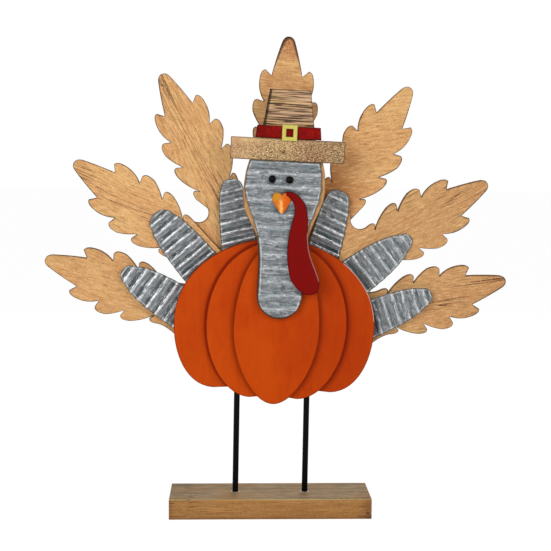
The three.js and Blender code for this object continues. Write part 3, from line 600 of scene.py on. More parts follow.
def block_wood(tint):
    """Stained softwood: growth lines, a greyed top with a pale front corner, dark ends, cracks near both
    ends, and raw wood round the rods' holes."""
    f = Finish("block_wood", tint)
    place = f.place()
    x, y, z = f.parts(place)
    patches = f.noise(place, (22, 40, 120), 3)
    rings = f.noise(place, (9, 190, 330), 4, 0.6, 0.5)
    fibres = f.noise(place, (60, 1000, 1000), 4, 0.7, shift=(1, 2, 3))
    grit = f.noise(place, (500, 900, 900), 3, 0.7, shift=(3, 2, 1))
    f.cover(f.ramp(patches, 0.35, 0.66), 176, 126, 68)
    f.layer(rings, 0.42, 0.64, 0.6, 142, 96, 52)
    f.layer((rings - 0.44) ** 2, 0.0006, 0.0001, 0.5, 122, 80, 44)
    f.layer(fibres, 0.46, 0.66, 0.45, 116, 76, 42)
    f.layer(grit, 0.5, 0.66, 0.25, 206, 164, 108)
    f.layer(z, 0.0035, 0.0003, 0.45, 110, 72, 42)
    ends = f.ramp(x + (patches - 0.5) * 0.03, 0.071, 0.08) + f.ramp(x + (rings - 0.5) * 0.01, -0.075, -0.08)
    f.cover(ends * 0.4, 104, 62, 40)
    top = f.ramp(z, 0.0156, 0.0159)
    slant = f.noise(place, (70, 420, 100), 4, 0.7, 0.5, shift=(4, 1, 0))
    grey = f.mix(f.ramp(slant, 0.36, 0.62), tone(182, 156, 118), tone(138, 118, 90))
    brown = f.ramp(patches + (slant - 0.5) * 0.5, 0.46, 0.62)
    grey = f.mix(brown * 0.6, grey, tone(176, 134, 88))
    f.cover(top * 0.9, grey)
    corner = f.ramp(y, -0.0236, -0.0246) * f.ramp(z, 0.0153, 0.0157) * f.ramp(rings, 0.6, 0.4, 0.4, 1)
    f.cover(corner * 0.8, 202, 174, 108)
    split = f.noise(place, (26, 300, 420), 2, 0.5, 0.3, shift=(6, 5, 4))
    sides = f.larger(f.ramp(x, -0.05, -0.07), f.ramp(x, 0.066, 0.078))
    crack = f.ramp((split - 0.5) ** 2, 0.0006, 0.0001) * sides
    f.cover(crack * 0.75, 50, 34, 24)
    gap = ((((x - ROD_OFFSET * MM) ** 2) ** 0.5 - ROD_SPACING / 2 * MM) ** 2 + y * y) ** 0.5
    raw = f.ramp(gap + (grit - 0.5) * 0.002, 0.0046, 0.0034) * top
    f.cover(raw * 0.8, 206, 198, 184)
    height = fibres * 0.35 + rings * 0.35 - crack * 0.8
    return f.surface(f.ramp(rings, 0.3, 0.7, 0.58, 0.75), f.bump(height, 0.0005, 0.6), 0.15)


def neck_wood(tint):
    """Bare board under the neck's metal, with a thin dark rim that is burnt black lower down."""
    f = Finish("neck_wood", tint)
    _, y, rim = f.blade()
    fibres = f.noise(f.attribute("grain"), (700, 40, 300), 5, 0.65)
    f.cover(f.ramp(fibres, 0.4, 0.66) * 0.6, 160, 114, 72)
    low = f.ramp(y, 0.064, 0.05)
    burnt = f.ramp(rim + (fibres - 0.5) * 0.001 - low * 0.002, -0.0002, 0.0006, 1, 0)
    f.cover(burnt * (low * 0.45 + 0.5) * f.ramp(rim, -0.003, -0.001, 0.6, 1), 50, 30, 24)
    return f.surface(f.ramp(fibres, 0.3, 0.7, 0.62, 0.8), f.bump(fibres, 0.0003, 0.6), 0.15)


def galvanised(tint):
    """Weathered zinc sheet: broken ridges with painted highlights, painted shade above and painted light
    below each, crests painted paler as light and wear, valleys painted dark as shade, painted glints,
    blocky patches and scratches along them, specks and dark cut edges. The shine attribute says how strong
    the ridges' painted light and shade are, and the gap attribute how near the pumpkin's painted shadow is."""
    f = Finish("zinc_sheet", tint)
    flat = f.attribute("flat")
    rim = f.parts(flat)[2]
    rise, slope, shine, gap = f.amounts("rise", "slope", "shine", "gap")
    block = f.noise(flat, (130, 430, 0), 2, 0.5)
    blotch = f.noise(flat, (260, 330, 0), 5, 0.75, 0.5, shift=(2, 9, 4))
    scratch = f.noise(flat, (80, 1050, 0), 3, 0.6, 0.1, shift=(1, 5, 2))
    speck = f.noise(flat, (850, 950, 0), 3, 0.7, shift=(7, 3, 1))
    f.cover(f.ramp(block, 0.5, 0.64) * 0.75, 178, 182, 184)
    f.layer(block, 0.46, 0.34, 0.6, 92, 96, 99)
    # Crests painted paler, as light falling on them and as wear, and valleys painted dark as shade
    pale = f.ramp(blotch, 0.38, 0.6, 0.35, 1) * (0.42 - shine * 0.4)
    f.cover(f.ramp(rise, 0.35, 0.85) * pale, 180, 184, 187)
    valley = f.ramp(rise + (blotch - 0.5) * 0.3, 0.12, 0.02) * (0.55 - shine * 0.4)
    f.cover(valley, 66, 68, 72)
    f.layer(blotch, 0.52, 0.64, 0.6, 74, 79, 82)
    f.layer(blotch, 0.47, 0.35, 0.5, 190, 196, 200)
    f.layer(scratch, 0.54, 0.64, 0.68, 72, 76, 80)
    f.layer(scratch, 0.44, 0.34, 0.35, 196, 202, 206)
    cast = f.noise(flat, (90, 120, 0), 2, shift=(5, 5, 1))
    f.layer(cast, 0.52, 0.66, 0.4, 104, 124, 130)
    patch = f.ramp(cast + (blotch - 0.5) * 0.6, 0.4, 0.56)
    # Painted shade on the slope above each ridge, and painted light on the slope below it
    dark = f.ramp(slope + (blotch - 0.5) * 1.4, 0.5, -0.9) * shine
    f.cover(dark * (0.45 + patch * 0.4), 30, 35, 38)
    f.cover(f.ramp(slope, 0.1, 0.9) * shine * 0.3, 176, 180, 183)
    # Painted shadow of the pumpkin on the feet of the feathers on the right
    near = f.ramp(gap + (blotch - 0.5) * 4, 7, 3) * f.ramp(f.parts(f.place())[0], 0.02, 0.04)
    f.cover(near * 0.7, 34, 38, 41)
    f.layer(speck, 0.6, 0.7, 0.4, 216, 222, 226)
    f.layer(speck, 0.4, 0.3, 0.55, 56, 60, 64)
    broken = f.ramp(scratch + (blotch - 0.5) * 0.8, 0.62, 0.42) * f.ramp(cast + shine * 0.3, 0.44, 0.62)
    # Painted highlight along the broken ridge lines
    f.cover(f.ramp(rise + slope * 0.25, 0.82, 1.02) * broken * shine, 240, 242, 243)
    dash = f.noise(flat, (210, 850, 0), 2, 0.6, 0.2, shift=(3, 8, 2))
    f.layer(dash, 0.63, 0.68, 0.8, 34, 38, 42)
    # Painted glints on the raised parts
    painted_glint = f.ramp(dash + (cast - 0.5) * 0.3, 0.37, 0.31) * f.ramp(rise, 0.1, 0.7)
    f.cover(painted_glint * 0.8, 236, 240, 243)
    paleness = f.ramp(rim, 0.0007, 0.0011) * f.ramp(rim, 0.0021, 0.0014) * f.ramp(cast, 0.44, 0.56)
    f.cover(paleness * 0.5, 214, 214, 206)
    f.cover(f.ramp(rim + (speck - 0.5) * 0.0008, 0.0002, 0.0009, 0.8, 0), 50, 52, 55)
    return f.surface(
        f.ramp(blotch, 0.36, 0.62, 0.4, 0.62),
        f.bump(scratch * 0.4 + blotch * 0.4 + speck * 0.2, 0.0003, 0.7), metallic=0.5)


def board_paint(name, tint, deep, shine, rough_grain=0.0, pale_side=False, seam_shades=False):
    """Brushed paint: soft clouds and thin dark edges. Rough grain shows coarse wood through it, a pale side
    makes the edge pale where the side attribute says, and with seam_shades the paint gets painted shade
    towards the right and a painted shadow next to the board in front."""
    f = Finish(name, tint)
    place = f.place()
    x, _, rim = f.blade()
    brush = f.noise(place, (260, 260, 50), 4, 0.6)
    cloud = f.noise(place, (26, 26, 20), 3, shift=(3, 1, 2))
    grit = f.noise(place, (1000, 1000, 1000), 3, 0.6)
    coarse = f.noise(place, (420, 420, 240), 4, 0.7, 0.4, shift=(2, 2, 5))
    f.cover(f.ramp(cloud, 0.35, 0.68) * 0.5 + f.ramp(brush, 0.4, 0.7) * 0.25, deep)
    f.cover(f.ramp(grit, 0.5, 0.7) * 0.3, [c * 0.7 for c in deep])
    if rough_grain:
        f.cover(f.ramp(coarse, 0.52, 0.68) * rough_grain, [min(1, c * 1.7) for c in tint])
        f.cover(f.ramp(coarse, 0.46, 0.32) * rough_grain, [c * 0.4 for c in deep])
    edge = f.ramp(rim + (grit - 0.5) * 0.0008, 0, 0.001, 1, 0)
    f.cover(edge * 0.7, [c * 0.2 for c in deep])
    if seam_shades:
        # Painted shade: darker towards the right, and a soft painted shadow next to the board in front
        gap = f.attribute("gap", "Fac") + (grit - 0.5) * 0.8
        right = f.ramp(x, -0.01, 0.02)
        f.layer(x + (cloud - 0.5) * 0.04, 0, 0.05, 0.35, 160, 42, 2)
        seam = f.attribute("seam", "Fac")
        f.cover(f.ramp(gap, 0, 7, 1, 0) * (0.05 + right * 0.35) * seam, 130, 24, 2)
        # A dark painted shadow core right at the board in front
        shadow_core = f.ramp(gap, 0.6, 2.8, 1, 0) * (0.7 - right * 0.25) * seam
        f.cover(shadow_core, 136, 4, 0)
    if pale_side:
        # A pale line along the edge, where the side attribute says
        pale_edge = f.ramp(rim, 0.0009, 0.0004) * f.attribute("side", "Fac")
        f.cover(pale_edge * 0.75, 220, 184, 174)
    return f.surface(
        f.ramp(brush, 0.3, 0.7, shine - 0.04, shine + 0.08),
        f.bump(grit * 0.4 + brush * 0.4 + coarse * rough_grain, 0.00014, 0.6), 0.05)


def beak_paint(tint):
    """Uneven orange paint: ochre at the upper left, redder on the right, and a painted highlight along the
    fold.
    """
    f = Finish("beak_paint", tint)
    x, y, rim = f.blade()
    patch = f.noise(f.place(), (420, 420, 420), 3, 0.6)
    grit = f.noise(f.place(), (1500, 1500, 1500), 3, 0.6, shift=(1, 2, 3))
    uneven = (patch - 0.5) * 0.004
    f.cover(f.ramp(x + uneven, 0.0003, 0.0022) * 0.8, 232, 100, 20)
    ochre = f.ramp(x + uneven, 0, -0.0025) * f.ramp(y + uneven, -0.006, -0.002)
    f.cover(ochre * 0.8, 206, 146, 34)
    # Painted highlight along the lower fold
    paleness = f.ramp((x + 0.0008 + uneven) ** 2, 0.0000032, 0.0000004) * f.ramp(y, -0.0025, -0.005)
    f.cover(paleness * 0.75, 255, 196, 104)
    f.cover(f.ramp(rim + (grit - 0.5) * 0.0006, 0, 0.0008, 0.7, 0), 124, 62, 22)
    return f.surface(f.ramp(patch, 0.3, 0.7, 0.34, 0.5), f.bump(grit * 0.5 + patch * 0.5, 0.0001, 0.6), 0.2)


def black_enamel(name, shine):
    """Black enamel with a fine orange-peel skin and dull patches."""
    f = Finish(name, tone(4, 4, 5))
    place = f.place()
    peel = f.noise(place, (900, 900, 400), 3, 0.5)
    dull = f.noise(place, (120, 120, 60), 3, shift=(1, 2, 3))
    f.layer(dull, 0.4, 0.7, 0.6, 12, 11, 11)
    return f.surface(f.ramp(dull, 0.3, 0.7, shine, shine + 0.12), f.bump(peel, 0.00006, 0.5), 0.05)


def fastener_steel(name, light, dark):
    """Plated steel, brushed by handling and stained in patches."""
    f = Finish(name, light)
    place = f.place()
    rubbed = f.noise(place, (1500, 400, 1500), 4, 0.7)
    stain = f.noise(place, (500, 500, 500), 3, shift=(4, 0, 1))
    f.layer(stain, 0.42, 0.66, 0.7, dark)
    return f.surface(f.ramp(rubbed, 0.3, 0.7, 0.3, 0.5), f.bump(rubbed, 0.00006, 0.5), metallic=0.8)


# Settings
def length(label, about, default, low, high):
    return bpy.props.FloatProperty(
        name=label, description=about, default=default, min=low, max=high, unit="LENGTH")


def paint(label, about, red, green, blue):
    return bpy.props.FloatVectorProperty(
        name=label, description=about, subtype="COLOR", default=tone(red, green, blue), min=0, max=1)


def power(label, about, default):
    return bpy.props.FloatProperty(
        name=label, description=about, default=default, min=0, max=100, unit="POWER")


class TurkeySizes(bpy.types.PropertyGroup):
    edge_round: length("Edge rounding", "Radius of the leaves' sanded edges", 0.0005, 0.0001, 0.002)
    sheet_thickness: length("Sheet thickness", "Thickness of the corrugated sheet", 0.0005, 0.0003, 0.001)
    wave_height: length("Wave height", "Rise of the waves from valley to crest", 0.0021, 0.0005, 0.0021)
    facing_pitch: length("Neck waves", "Distance between the neck sheet's crests", 0.01058, 0.004, 0.02)
    rod_diameter: length("Rod diameter", "Diameter of the two rods", 0.0047, 0.002, 0.0047)
    eye_radius: length("Eye radius", "Radius of the domed tacks", 0.00285, 0.001, 0.004)


class TurkeyColours(bpy.types.PropertyGroup):
    leaf: paint("Leaves", "Pale board of the leaves", 228, 174, 116)
    hat: paint("Hat boards", "Weathered board of the crown and the brim", 220, 182, 128)
    block: paint("Block", "Stained wood of the block", 178, 130, 76)
    neck: paint("Neck board", "Board behind the neck's metal", 204, 156, 102)
    metal: paint("Sheet", "Zinc of the corrugated sheet", 128, 131, 133)
    pumpkin: paint("Pumpkin", "Orange paint of the pumpkin", 199, 74, 6)
    beak: paint("Beak", "Paint of the beak", 222, 114, 28)
    wattle: paint("Wattle", "Dark red paint of the wattle", 128, 7, 4)
    band: paint("Hat band", "Deep red paint of the band", 136, 14, 8)
    buckle: paint("Buckle", "Pale yellow paint of the buckle", 255, 246, 132)


class TurkeyStage(bpy.types.PropertyGroup):
    sky: bpy.props.FloatProperty(
        name="Room light", description="Brightness of the room round the figure", default=0.2, min=0, max=2)
    left: power("Left lamp", "Power of the lamp on the left", 5.9)
    right: power("Right lamp", "Power of the lamp on the right", 4.2)
    rear: power("Rear lamp", "Power of the lamp behind and above", 4)


def sizes():
    return bpy.context.scene.turkey_sizes


def colours():
    return bpy.context.scene.turkey_colours


# Makers of the pieces
def board_mesh(name, ring, spine, layer, rounding, place, grain_turn=0, seed=0, lift=None, **extra):
    """A board's mesh. Its blade attribute holds the plane place and the rim, and its grain attribute
    the place turned so that the second number runs along the fibres. Extra attributes have one value
    for the board or for each point of its ring."""
    points, rims = board(ring, spine, layer, rounding)
    grain = raised(turned(points[..., :2], -grain_turn), points[..., 2]) + (seed * 37, seed * 91, seed * 13)
    blade = raised(points[..., :2], rims)
    extra = {key: rims * 0 + value for key, value in extra.items()}
    return mesh_of(name, points + lift(points) if lift else points, place, blade=blade, grain=grain, **extra)


def trapezium(bottom_width, top_width, bottom, top, count=24):
    """Ring of a board with level edges, from the middle of its top."""
    corners = [(0, top), (top_width / 2, top), (bottom_width / 2, bottom), (0, bottom)]
    return mirrored(np.vstack([*(curve(count, a, b) for a, b in zip(corners, corners[1:])), corners[-1:]]))


def panel_ring(middle, half, top, belt, bottom, dip, lobe, crown, cheek, jaw, chin):
    """Ring of a pumpkin panel: two cubics down the side and a shallow dip between the lobes."""
    cheek, jaw = belt + cheek * (top - belt), belt - jaw * (belt - bottom)
    end = (lobe * half, bottom)
    parts = [
        curve(90, (0, top), (crown * half, top), (half, cheek), (half, belt)),
        curve(70, (half, belt), (half, jaw), (chin * half, bottom), end),
    ]
    if lobe > 0:
        parts.append(curve(40, end, (0, bottom + dip), (-end[0], bottom))[:20])
    return mirrored(np.vstack([*parts, [[0, bottom + dip / 2]]])) + (middle, 0)


def leaf_side(foot, web):
    """One side of a leaf as half width and length from the tip, a lobe at a time, down to the foot."""
    stem, stem_half, stretch, half, length, _ = foot
    scale = BLADE[::-1]
    tips, lobes = BLADE_TIP[:, ::-1] * scale, LOBES[..., ::-1] * scale
    end = BLADE[0] + length
    neck = (half, end - stretch)
    parts = [curve(10, (0, 0), tips[0], tips[1]), curve(16, tips[1], tips[2], lobes[0, 0])]
    for (notch, front, corner, shoulder, bend), following in zip(lobes, [*lobes[1:, 0], None]):
        parts += [curve(8, notch, front), curve(16, front, corner, shoulder)]
        if following is not None:
            parts.append(curve(14, shoulder, bend, following))
        elif web:
            cove = np.array([web[1], BLADE[0] - web[0]])
            sweep = np.linspace(-np.pi / 2, COVE_SWEEP, 25)
            arc = cove + COVE_RADIUS * np.stack([np.sin(sweep), np.cos(sweep)], -1)
            tip = cove + (WEB_REACH, WEB_RISE)
            parts += [curve(10, shoulder, arc[0]), arc[:-1], curve(6, arc[-1], tip), curve(12, tip, neck)]
        else:
            waist = (stem_half, BLADE[0] + stem)
            parts += [curve(40, shoulder, bend, waist), curve(12, waist, neck)]
    low, corner = (half, end - 4), (half - 4, end)
    parts += [curve(8, neck, low), curve(6, low, (half, end), corner), curve(8, corner, (0, end))]
    return np.vstack([*parts, [[0, end]]])


def leaf_mesh(name, turn, waist, side, layer, foot, web, grain_turn, burn, marks, brown, seed):
    """A leaf: spokes run from its middle line out to its edge, each from further down."""
    plain = leaf_side(foot, None)
    webbed = leaf_side(foot, web) if web else plain
    reach = np.maximum(*(side[:, 1] + LEAF_SPOKE * side[:, 0] for side in (plain, webbed)))
    if web:
        reach = np.where(webbed[:, 1] > BLADE[0] - web[0] - 4, webbed[:, 1] + WEB_SPOKE * webbed[:, 0], reach)
    low = np.clip(np.maximum.accumulate(reach), 3, BLADE[0] + foot[4] - 3)
    ring = mirrored(plain, webbed * (-1, 1))
    spine = paired(np.stack([low * 0, low], -1))
    start = (side * BLADE[1], waist * WAIST_RADIUS + BLADE[0], 0)
    outward = placed(turn, (0, -foot[5]))

    def place(points):
        return outward(points * (1, -1, 1) + start)

    edge = sizes().edge_round / MM
    return board_mesh(
        name, ring, spine, layer, edge, place, -grain_turn, seed, burn=burn, marks=marks, brown=brown)


def feather_mesh(name, bearing, turn, skew, reach, length, half, tip, pitch, first, tip_shine, foot_shine):
    """A metal feather: its half width follows two quadratics from the round tip to the foot."""
    shoulder = (1.15 * tip, -tip)
    side = np.vstack([
        curve(30, (0, 0), (tip, 0), shoulder),
        curve(60, shoulder, (0.95 * half, -0.3 * length), (half, -length)), [[half, -length]],
    ])
    rows = np.concatenate([side[:31, 1], np.arange(-length, -tip / 3, FEATHER_STEP), [-length]])
    rows = np.unique(rows)[::-1]
    width = np.interp(-rows, -side[:, 1], side[:, 0])
    edge = np.stack([rows, -width, width], -1)
    points, carried = corrugated(edge, FEATHER_COLUMNS, (skew, first, pitch), FEATHER_REAR, reach)
    start = turned(np.array([0.0, reach]), bearing)
    # How strong the ridges' painted light and shade are from tip to foot, and the distance out from the back
    # board for the pumpkin's painted shadow
    carried["shine"] = tip_shine - (foot_shine - tip_shine) * points[..., 1] / length
    carried["gap"] = rim_gap(turned(points[..., :2], turn) + start, panel_ring(*PUMPKIN_PANELS["back"]))
    return mesh_of(name, points, placed(turn, start), **carried)


def neck_side(inset, top):
    """Half width and height down one side of the neck, ended by a quarter circle."""
    turn = NECK_TOP - NECK_LENGTH + NECK_END
    side = np.stack([NECK_SIDE[:, 1] * HEAD_HALF_WIDTH, NECK_TOP - NECK_SIDE[:, 0] * NECK_LENGTH], -1)
    side = spline(np.vstack([side, [[NECK_END, turn]]]), 14) - (inset, 0)
    side = side[side[:, 1] < top]
    start = (np.interp(-top, -side[:, 1], side[:, 0]), top)
    angle = np.linspace(0, np.pi / 2, 30)[1:]
    end = (0, turn) + (NECK_END - inset) * np.stack([np.cos(angle), -np.sin(angle)], -1)
    return np.vstack([[start], side, end])


def neck_sides():
    """Right and left side of the neck board from the middle of its top, each swollen a little."""
    side = neck_side(0, NECK_TOP)
    side = np.vstack([curve(16, (0, NECK_TOP), side[0]), side])
    right, left = (side + swelling(side[:, 1:], *numbers) * (1, 0) for numbers in (BOARD_RIGHT, BOARD_LEFT))
    return right, left * (-1, 1)


def neck_ring():
    """Ring of the neck board."""
    return mirrored(*neck_sides()) + (NECK_MIDDLE, 0)


def pin_points(spot, seat, direction, pin, length, recess):
    """A screw or nail turned about w: its point, shank, and a low domed head, with a crossed recess."""
    shank, head, rise, point, _ = pin
    t = np.linspace(0, np.pi / 2, 9)
    dome = np.stack([head * np.cos(t), rise * (0.45 + 0.55 * np.sin(t))], -1)
    profile = [(0, -length), (shank, point - length), (shank, 0), (head * 0.97, 0), (head, rise * 0.12)]
    points = lathed(np.vstack([profile, dome]), 48)
    if recess:
        x, y = np.abs(points[..., 0]), np.abs(points[..., 1])
        cross = (np.minimum(x, y) < RECESS_HALF) & (np.hypot(x, y) < head * RECESS_REACH)
        cross &= points[..., 2] > rise * 0.45
        points[..., 2] -= cross * rise * 0.5
    return (points + (0, 0, CLEARANCE)) * (direction, 1, direction) + (*spot, seat)


# Operators
class TurkeyStageOperator(bpy.types.Operator):
    """Make the camera, the floor, the room and the lamps"""
    bl_idname = "turkey.stage"
    bl_label = "Stage"

    def execute(self, context):
        scene, stage = context.scene, context.scene.turkey_stage
        lens = bpy.data.cameras.new("camera")
        lens.lens, lens.sensor_width = LENS, SENSOR
        lens.clip_start, lens.clip_end = 0.05, 50
        yaw, pitch, roll = (math.radians(a) for a in (CAMERA_YAW, CAMERA_PITCH, CAMERA_ROLL))
        ahead = (math.sin(yaw) * math.cos(pitch), math.cos(yaw) * math.cos(pitch), -math.sin(pitch))
        scene.camera = stand("camera", lens, CAMERA_PLACE, ahead, roll)
        scene.view_settings.view_transform = "Standard"

        # Floor: a disc of rings; the camera sees it nearly white, and it keeps the shadow
        mesh = mesh_of("floor", lathed([(radius, 0) for radius in FLOOR_RADII], 96), upright)
        f = Finish("floor_paper")
        speckle = f.noise(f.place(), (300, 300, 300), 2)
        paper = f.mix(f.ramp(speckle, 0.4, 0.6) * 0.02, tone(240, 240, 240), tone(228, 228, 228))
        matt = f.node("BsdfDiffuse", {"Color": paper})
        glow = f.node("Emission", {"Color": (1, 1, 1, 1), "Strength": 1.07})
        mixed = f.node("MixShader", {0: f.open_view() * 0.9, 1: matt, 2: glow})
        f.node("OutputMaterial", {"Surface": mixed})
        mesh.materials.append(f.material)
        floor = bpy.data.objects.new("floor", mesh)
        scene.collection.objects.link(floor)

        # Room: white where the camera looks, pale grey for the light it gives
        f = Finish("room", world=True)
        rays = f.open_view()
        up = f.parts(f.node("TexCoord", {}, "Generated"))[2]
        glow = f.ramp(up, -0.3, 0.9, 0.6, 1.4)
        strength = rays * (1 - glow * stage.sky) + glow * stage.sky
        light = f.node("Background", {"Color": (1, 1, 1, 1), "Strength": strength})
        f.node("OutputWorld", {"Surface": light})
        scene.world = f.material

        for side, place in LAMP_PLACES.items():
            lamp = bpy.data.lights.new(side + "_lamp", "AREA")
            lamp.shape, lamp.size, lamp.energy = "SQUARE", LAMP_SIZE, getattr(stage, side)
            stand(side + "_lamp", lamp, place, np.subtract(LAMP_TARGET, place))
        return {"FINISHED"}


class TurkeyBlock(bpy.types.Operator):
    """Make the wooden block"""
    bl_idname = "turkey.block"
    bl_label = "Block"

    def execute(self, context):
        ring = trapezium(BLOCK_WIDTH, BLOCK_WIDTH, -BLOCK_DEPTH / 2, BLOCK_DEPTH / 2, 40)
        mesh = board_mesh("block", ring, ring * 0, (0, BLOCK_HEIGHT), BLOCK_EDGE, upright)
        show(mesh, block_wood(colours().block), "base_block")
        return {"FINISHED"}


class TurkeyRods(bpy.types.Operator):
    """Make the two rods"""
    bl_idname = "turkey.rods"
    bl_label = "Rods"

    def execute(self, context):
        # Bar: a straight side with a quarter circle at both ends, turned about its axis and leant sideways
        enamel = black_enamel("rod_black", 0.4)
        turn = np.linspace(0, np.pi / 2, 6)
        radius = sizes().rod_diameter / MM / 2
        low = (radius, ROD_BOTTOM) + THIN_EDGE * np.stack([np.sin(turn) - 1, 1 - np.cos(turn)], -1)
        high = (0, ROD_BOTTOM + ROD_TOP) + low[::-1] * (1, -1)
        bar = lathed(np.vstack([(0, ROD_BOTTOM), low, high, (0, ROD_TOP)]), 40)
        c, s = math.cos(ROD_LEAN), math.sin(ROD_LEAN)
        for name, side in (("rod_left", -1), ("rod_right", 1)):
            x, y, along = bar[..., 0], bar[..., 1], bar[..., 2]
            foot = ROD_OFFSET + side * ROD_SPACING / 2
            points = np.stack([foot + x * c + along * s, y, BLOCK_HEIGHT - x * s + along * c], -1)
            show(mesh_of(name + "_bar", points, upright), enamel, name)
        return {"FINISHED"}


class TurkeyPumpkin(bpy.types.Operator):
    """Make the three boards of the pumpkin"""
    bl_idname = "turkey.pumpkin"
    bl_label = "Pumpkin"

    def execute(self, context):
        tint, deep = colours().pumpkin, tone(182, 56, 2)
        paint = board_paint("orange_paint", tint, deep, 0.42, pale_side=True, seam_shades=True)
        layers = {"back": BACK_PANEL, "middle": MIDDLE_PANEL, "front": FRONT_PANEL}
        rings = [panel_ring(*numbers) for numbers in PUMPKIN_PANELS.values()]
        for (place, numbers), ring, ahead in zip(PUMPKIN_PANELS.items(), rings, [*rings[1:], neck_ring()]):
            layer = layers[place]
            spine = ring * 0 + (numbers[0], PANEL_CENTRE)
            points = board(ring, spine, layer, PANEL_EDGE)[0]
            # Distance out from the board in front, for the painted shade and shadow next to it; narrower for
            # the neck's
            gap = rim_gap(points[..., :2], ahead) * (FRONT_GAP if place == "front" else 1)
            gap = np.where(points[..., 2] > layer[1] - 1, gap, FAR)
            x, y = ring.T
            # A pale stretch on the back board's right edge
            pale_edge = (x > PALE_OUT) & (y > PALE_LOW) & (y < PALE_HIGH) & (place == "back")
            # The middle board's painted shade and shadow are weaker
            seam = MIDDLE_SEAM_SHADE if place == "middle" else 1
            name = f"pumpkin_{place}_board"
            mesh = board_mesh(
                name, ring, spine, layer, PANEL_EDGE, on_figure, gap=gap, side=pale_edge, seam=seam)
            show(mesh, paint, f"pumpkin_{place}_panel")
        return {"FINISHED"}


class TurkeyLeaves(bpy.types.Operator):
    """Make the seven oak-leaf boards"""
    bl_idname = "turkey.leaves"
    bl_label = "Leaves"

    def execute(self, context):
        wood = leaf_wood(colours().leaf)
        for seed, (place, numbers) in enumerate(LEAVES.items()):
            show(leaf_mesh(f"oak_leaf_{place}", *numbers, seed), wood, f"leaf_{place}")
        return {"FINISHED"}


class TurkeyFeathers(bpy.types.Operator):
    """Make the six corrugated feathers"""
    bl_idname = "turkey.feathers"
    bl_label = "Metal feathers"

    def execute(self, context):
        zinc = galvanised(colours().metal)
        for place, numbers in FEATHERS.items():
            mesh = feather_mesh(f"feather_{place}", *numbers)
            show(mesh, zinc, f"metal_feather_{place}")
        return {"FINISHED"}


class TurkeyNeck(bpy.types.Operator):
    """Make the neck's board and its corrugated facing"""
    bl_idname = "turkey.neck"
    bl_label = "Neck"

    def execute(self, context):
        right = neck_sides()[0]
        low = NECK_TOP - NECK_LENGTH + NECK_END
        spine = paired(np.stack([right[:, 0] * 0, np.clip(right[:, 1], low, NECK_TOP - 8)], -1))
        spine = spine + (NECK_MIDDLE, 0)
        mesh = board_mesh("neck_plank", neck_ring(), spine, NECK_LAYER, TRIM_EDGE, on_figure)
        show(mesh, neck_wood(colours().neck), "neck_board")

        side = neck_side(FACING_INSET, FACING_TOP)
        rows = np.concatenate([np.arange(FACING_TOP, side[-1, 1] + 6, -FACING_STEP), side[-26:, 1]])
        rows = np.unique(rows)[::-1]
        width = np.interp(-rows, -side[:, 1], side[:, 0])
        middle = NECK_MIDDLE + FACING_SHIFT
        flare = SHEET_FLARE * np.clip((FLARE_TOP - rows) / FLARE_HEIGHT, 0, 1)
        right, left = width + swelling(rows, *SHEET_RIGHT) + flare, width + swelling(rows, *SHEET_LEFT)
        edge = np.stack([rows, middle - left, middle + right], -1)
        ridges = (0, -FACING_RIDGE, sizes().facing_pitch / MM)
        points, carried = corrugated(edge, FACING_COLUMNS, ridges, FACE_REAR, 7)
        # The neck sheet's ridges get weak painted light and shade, and no painted shadow of the pumpkin
        carried.update(shine=carried["rise"] * 0 + FACING_SHINE, gap=carried["rise"] * 0 + FAR)
        mesh = mesh_of("neck_sheet", points, on_figure, **carried)
        show(mesh, bpy.data.materials["zinc_sheet"], "neck_facing")
        return {"FINISHED"}


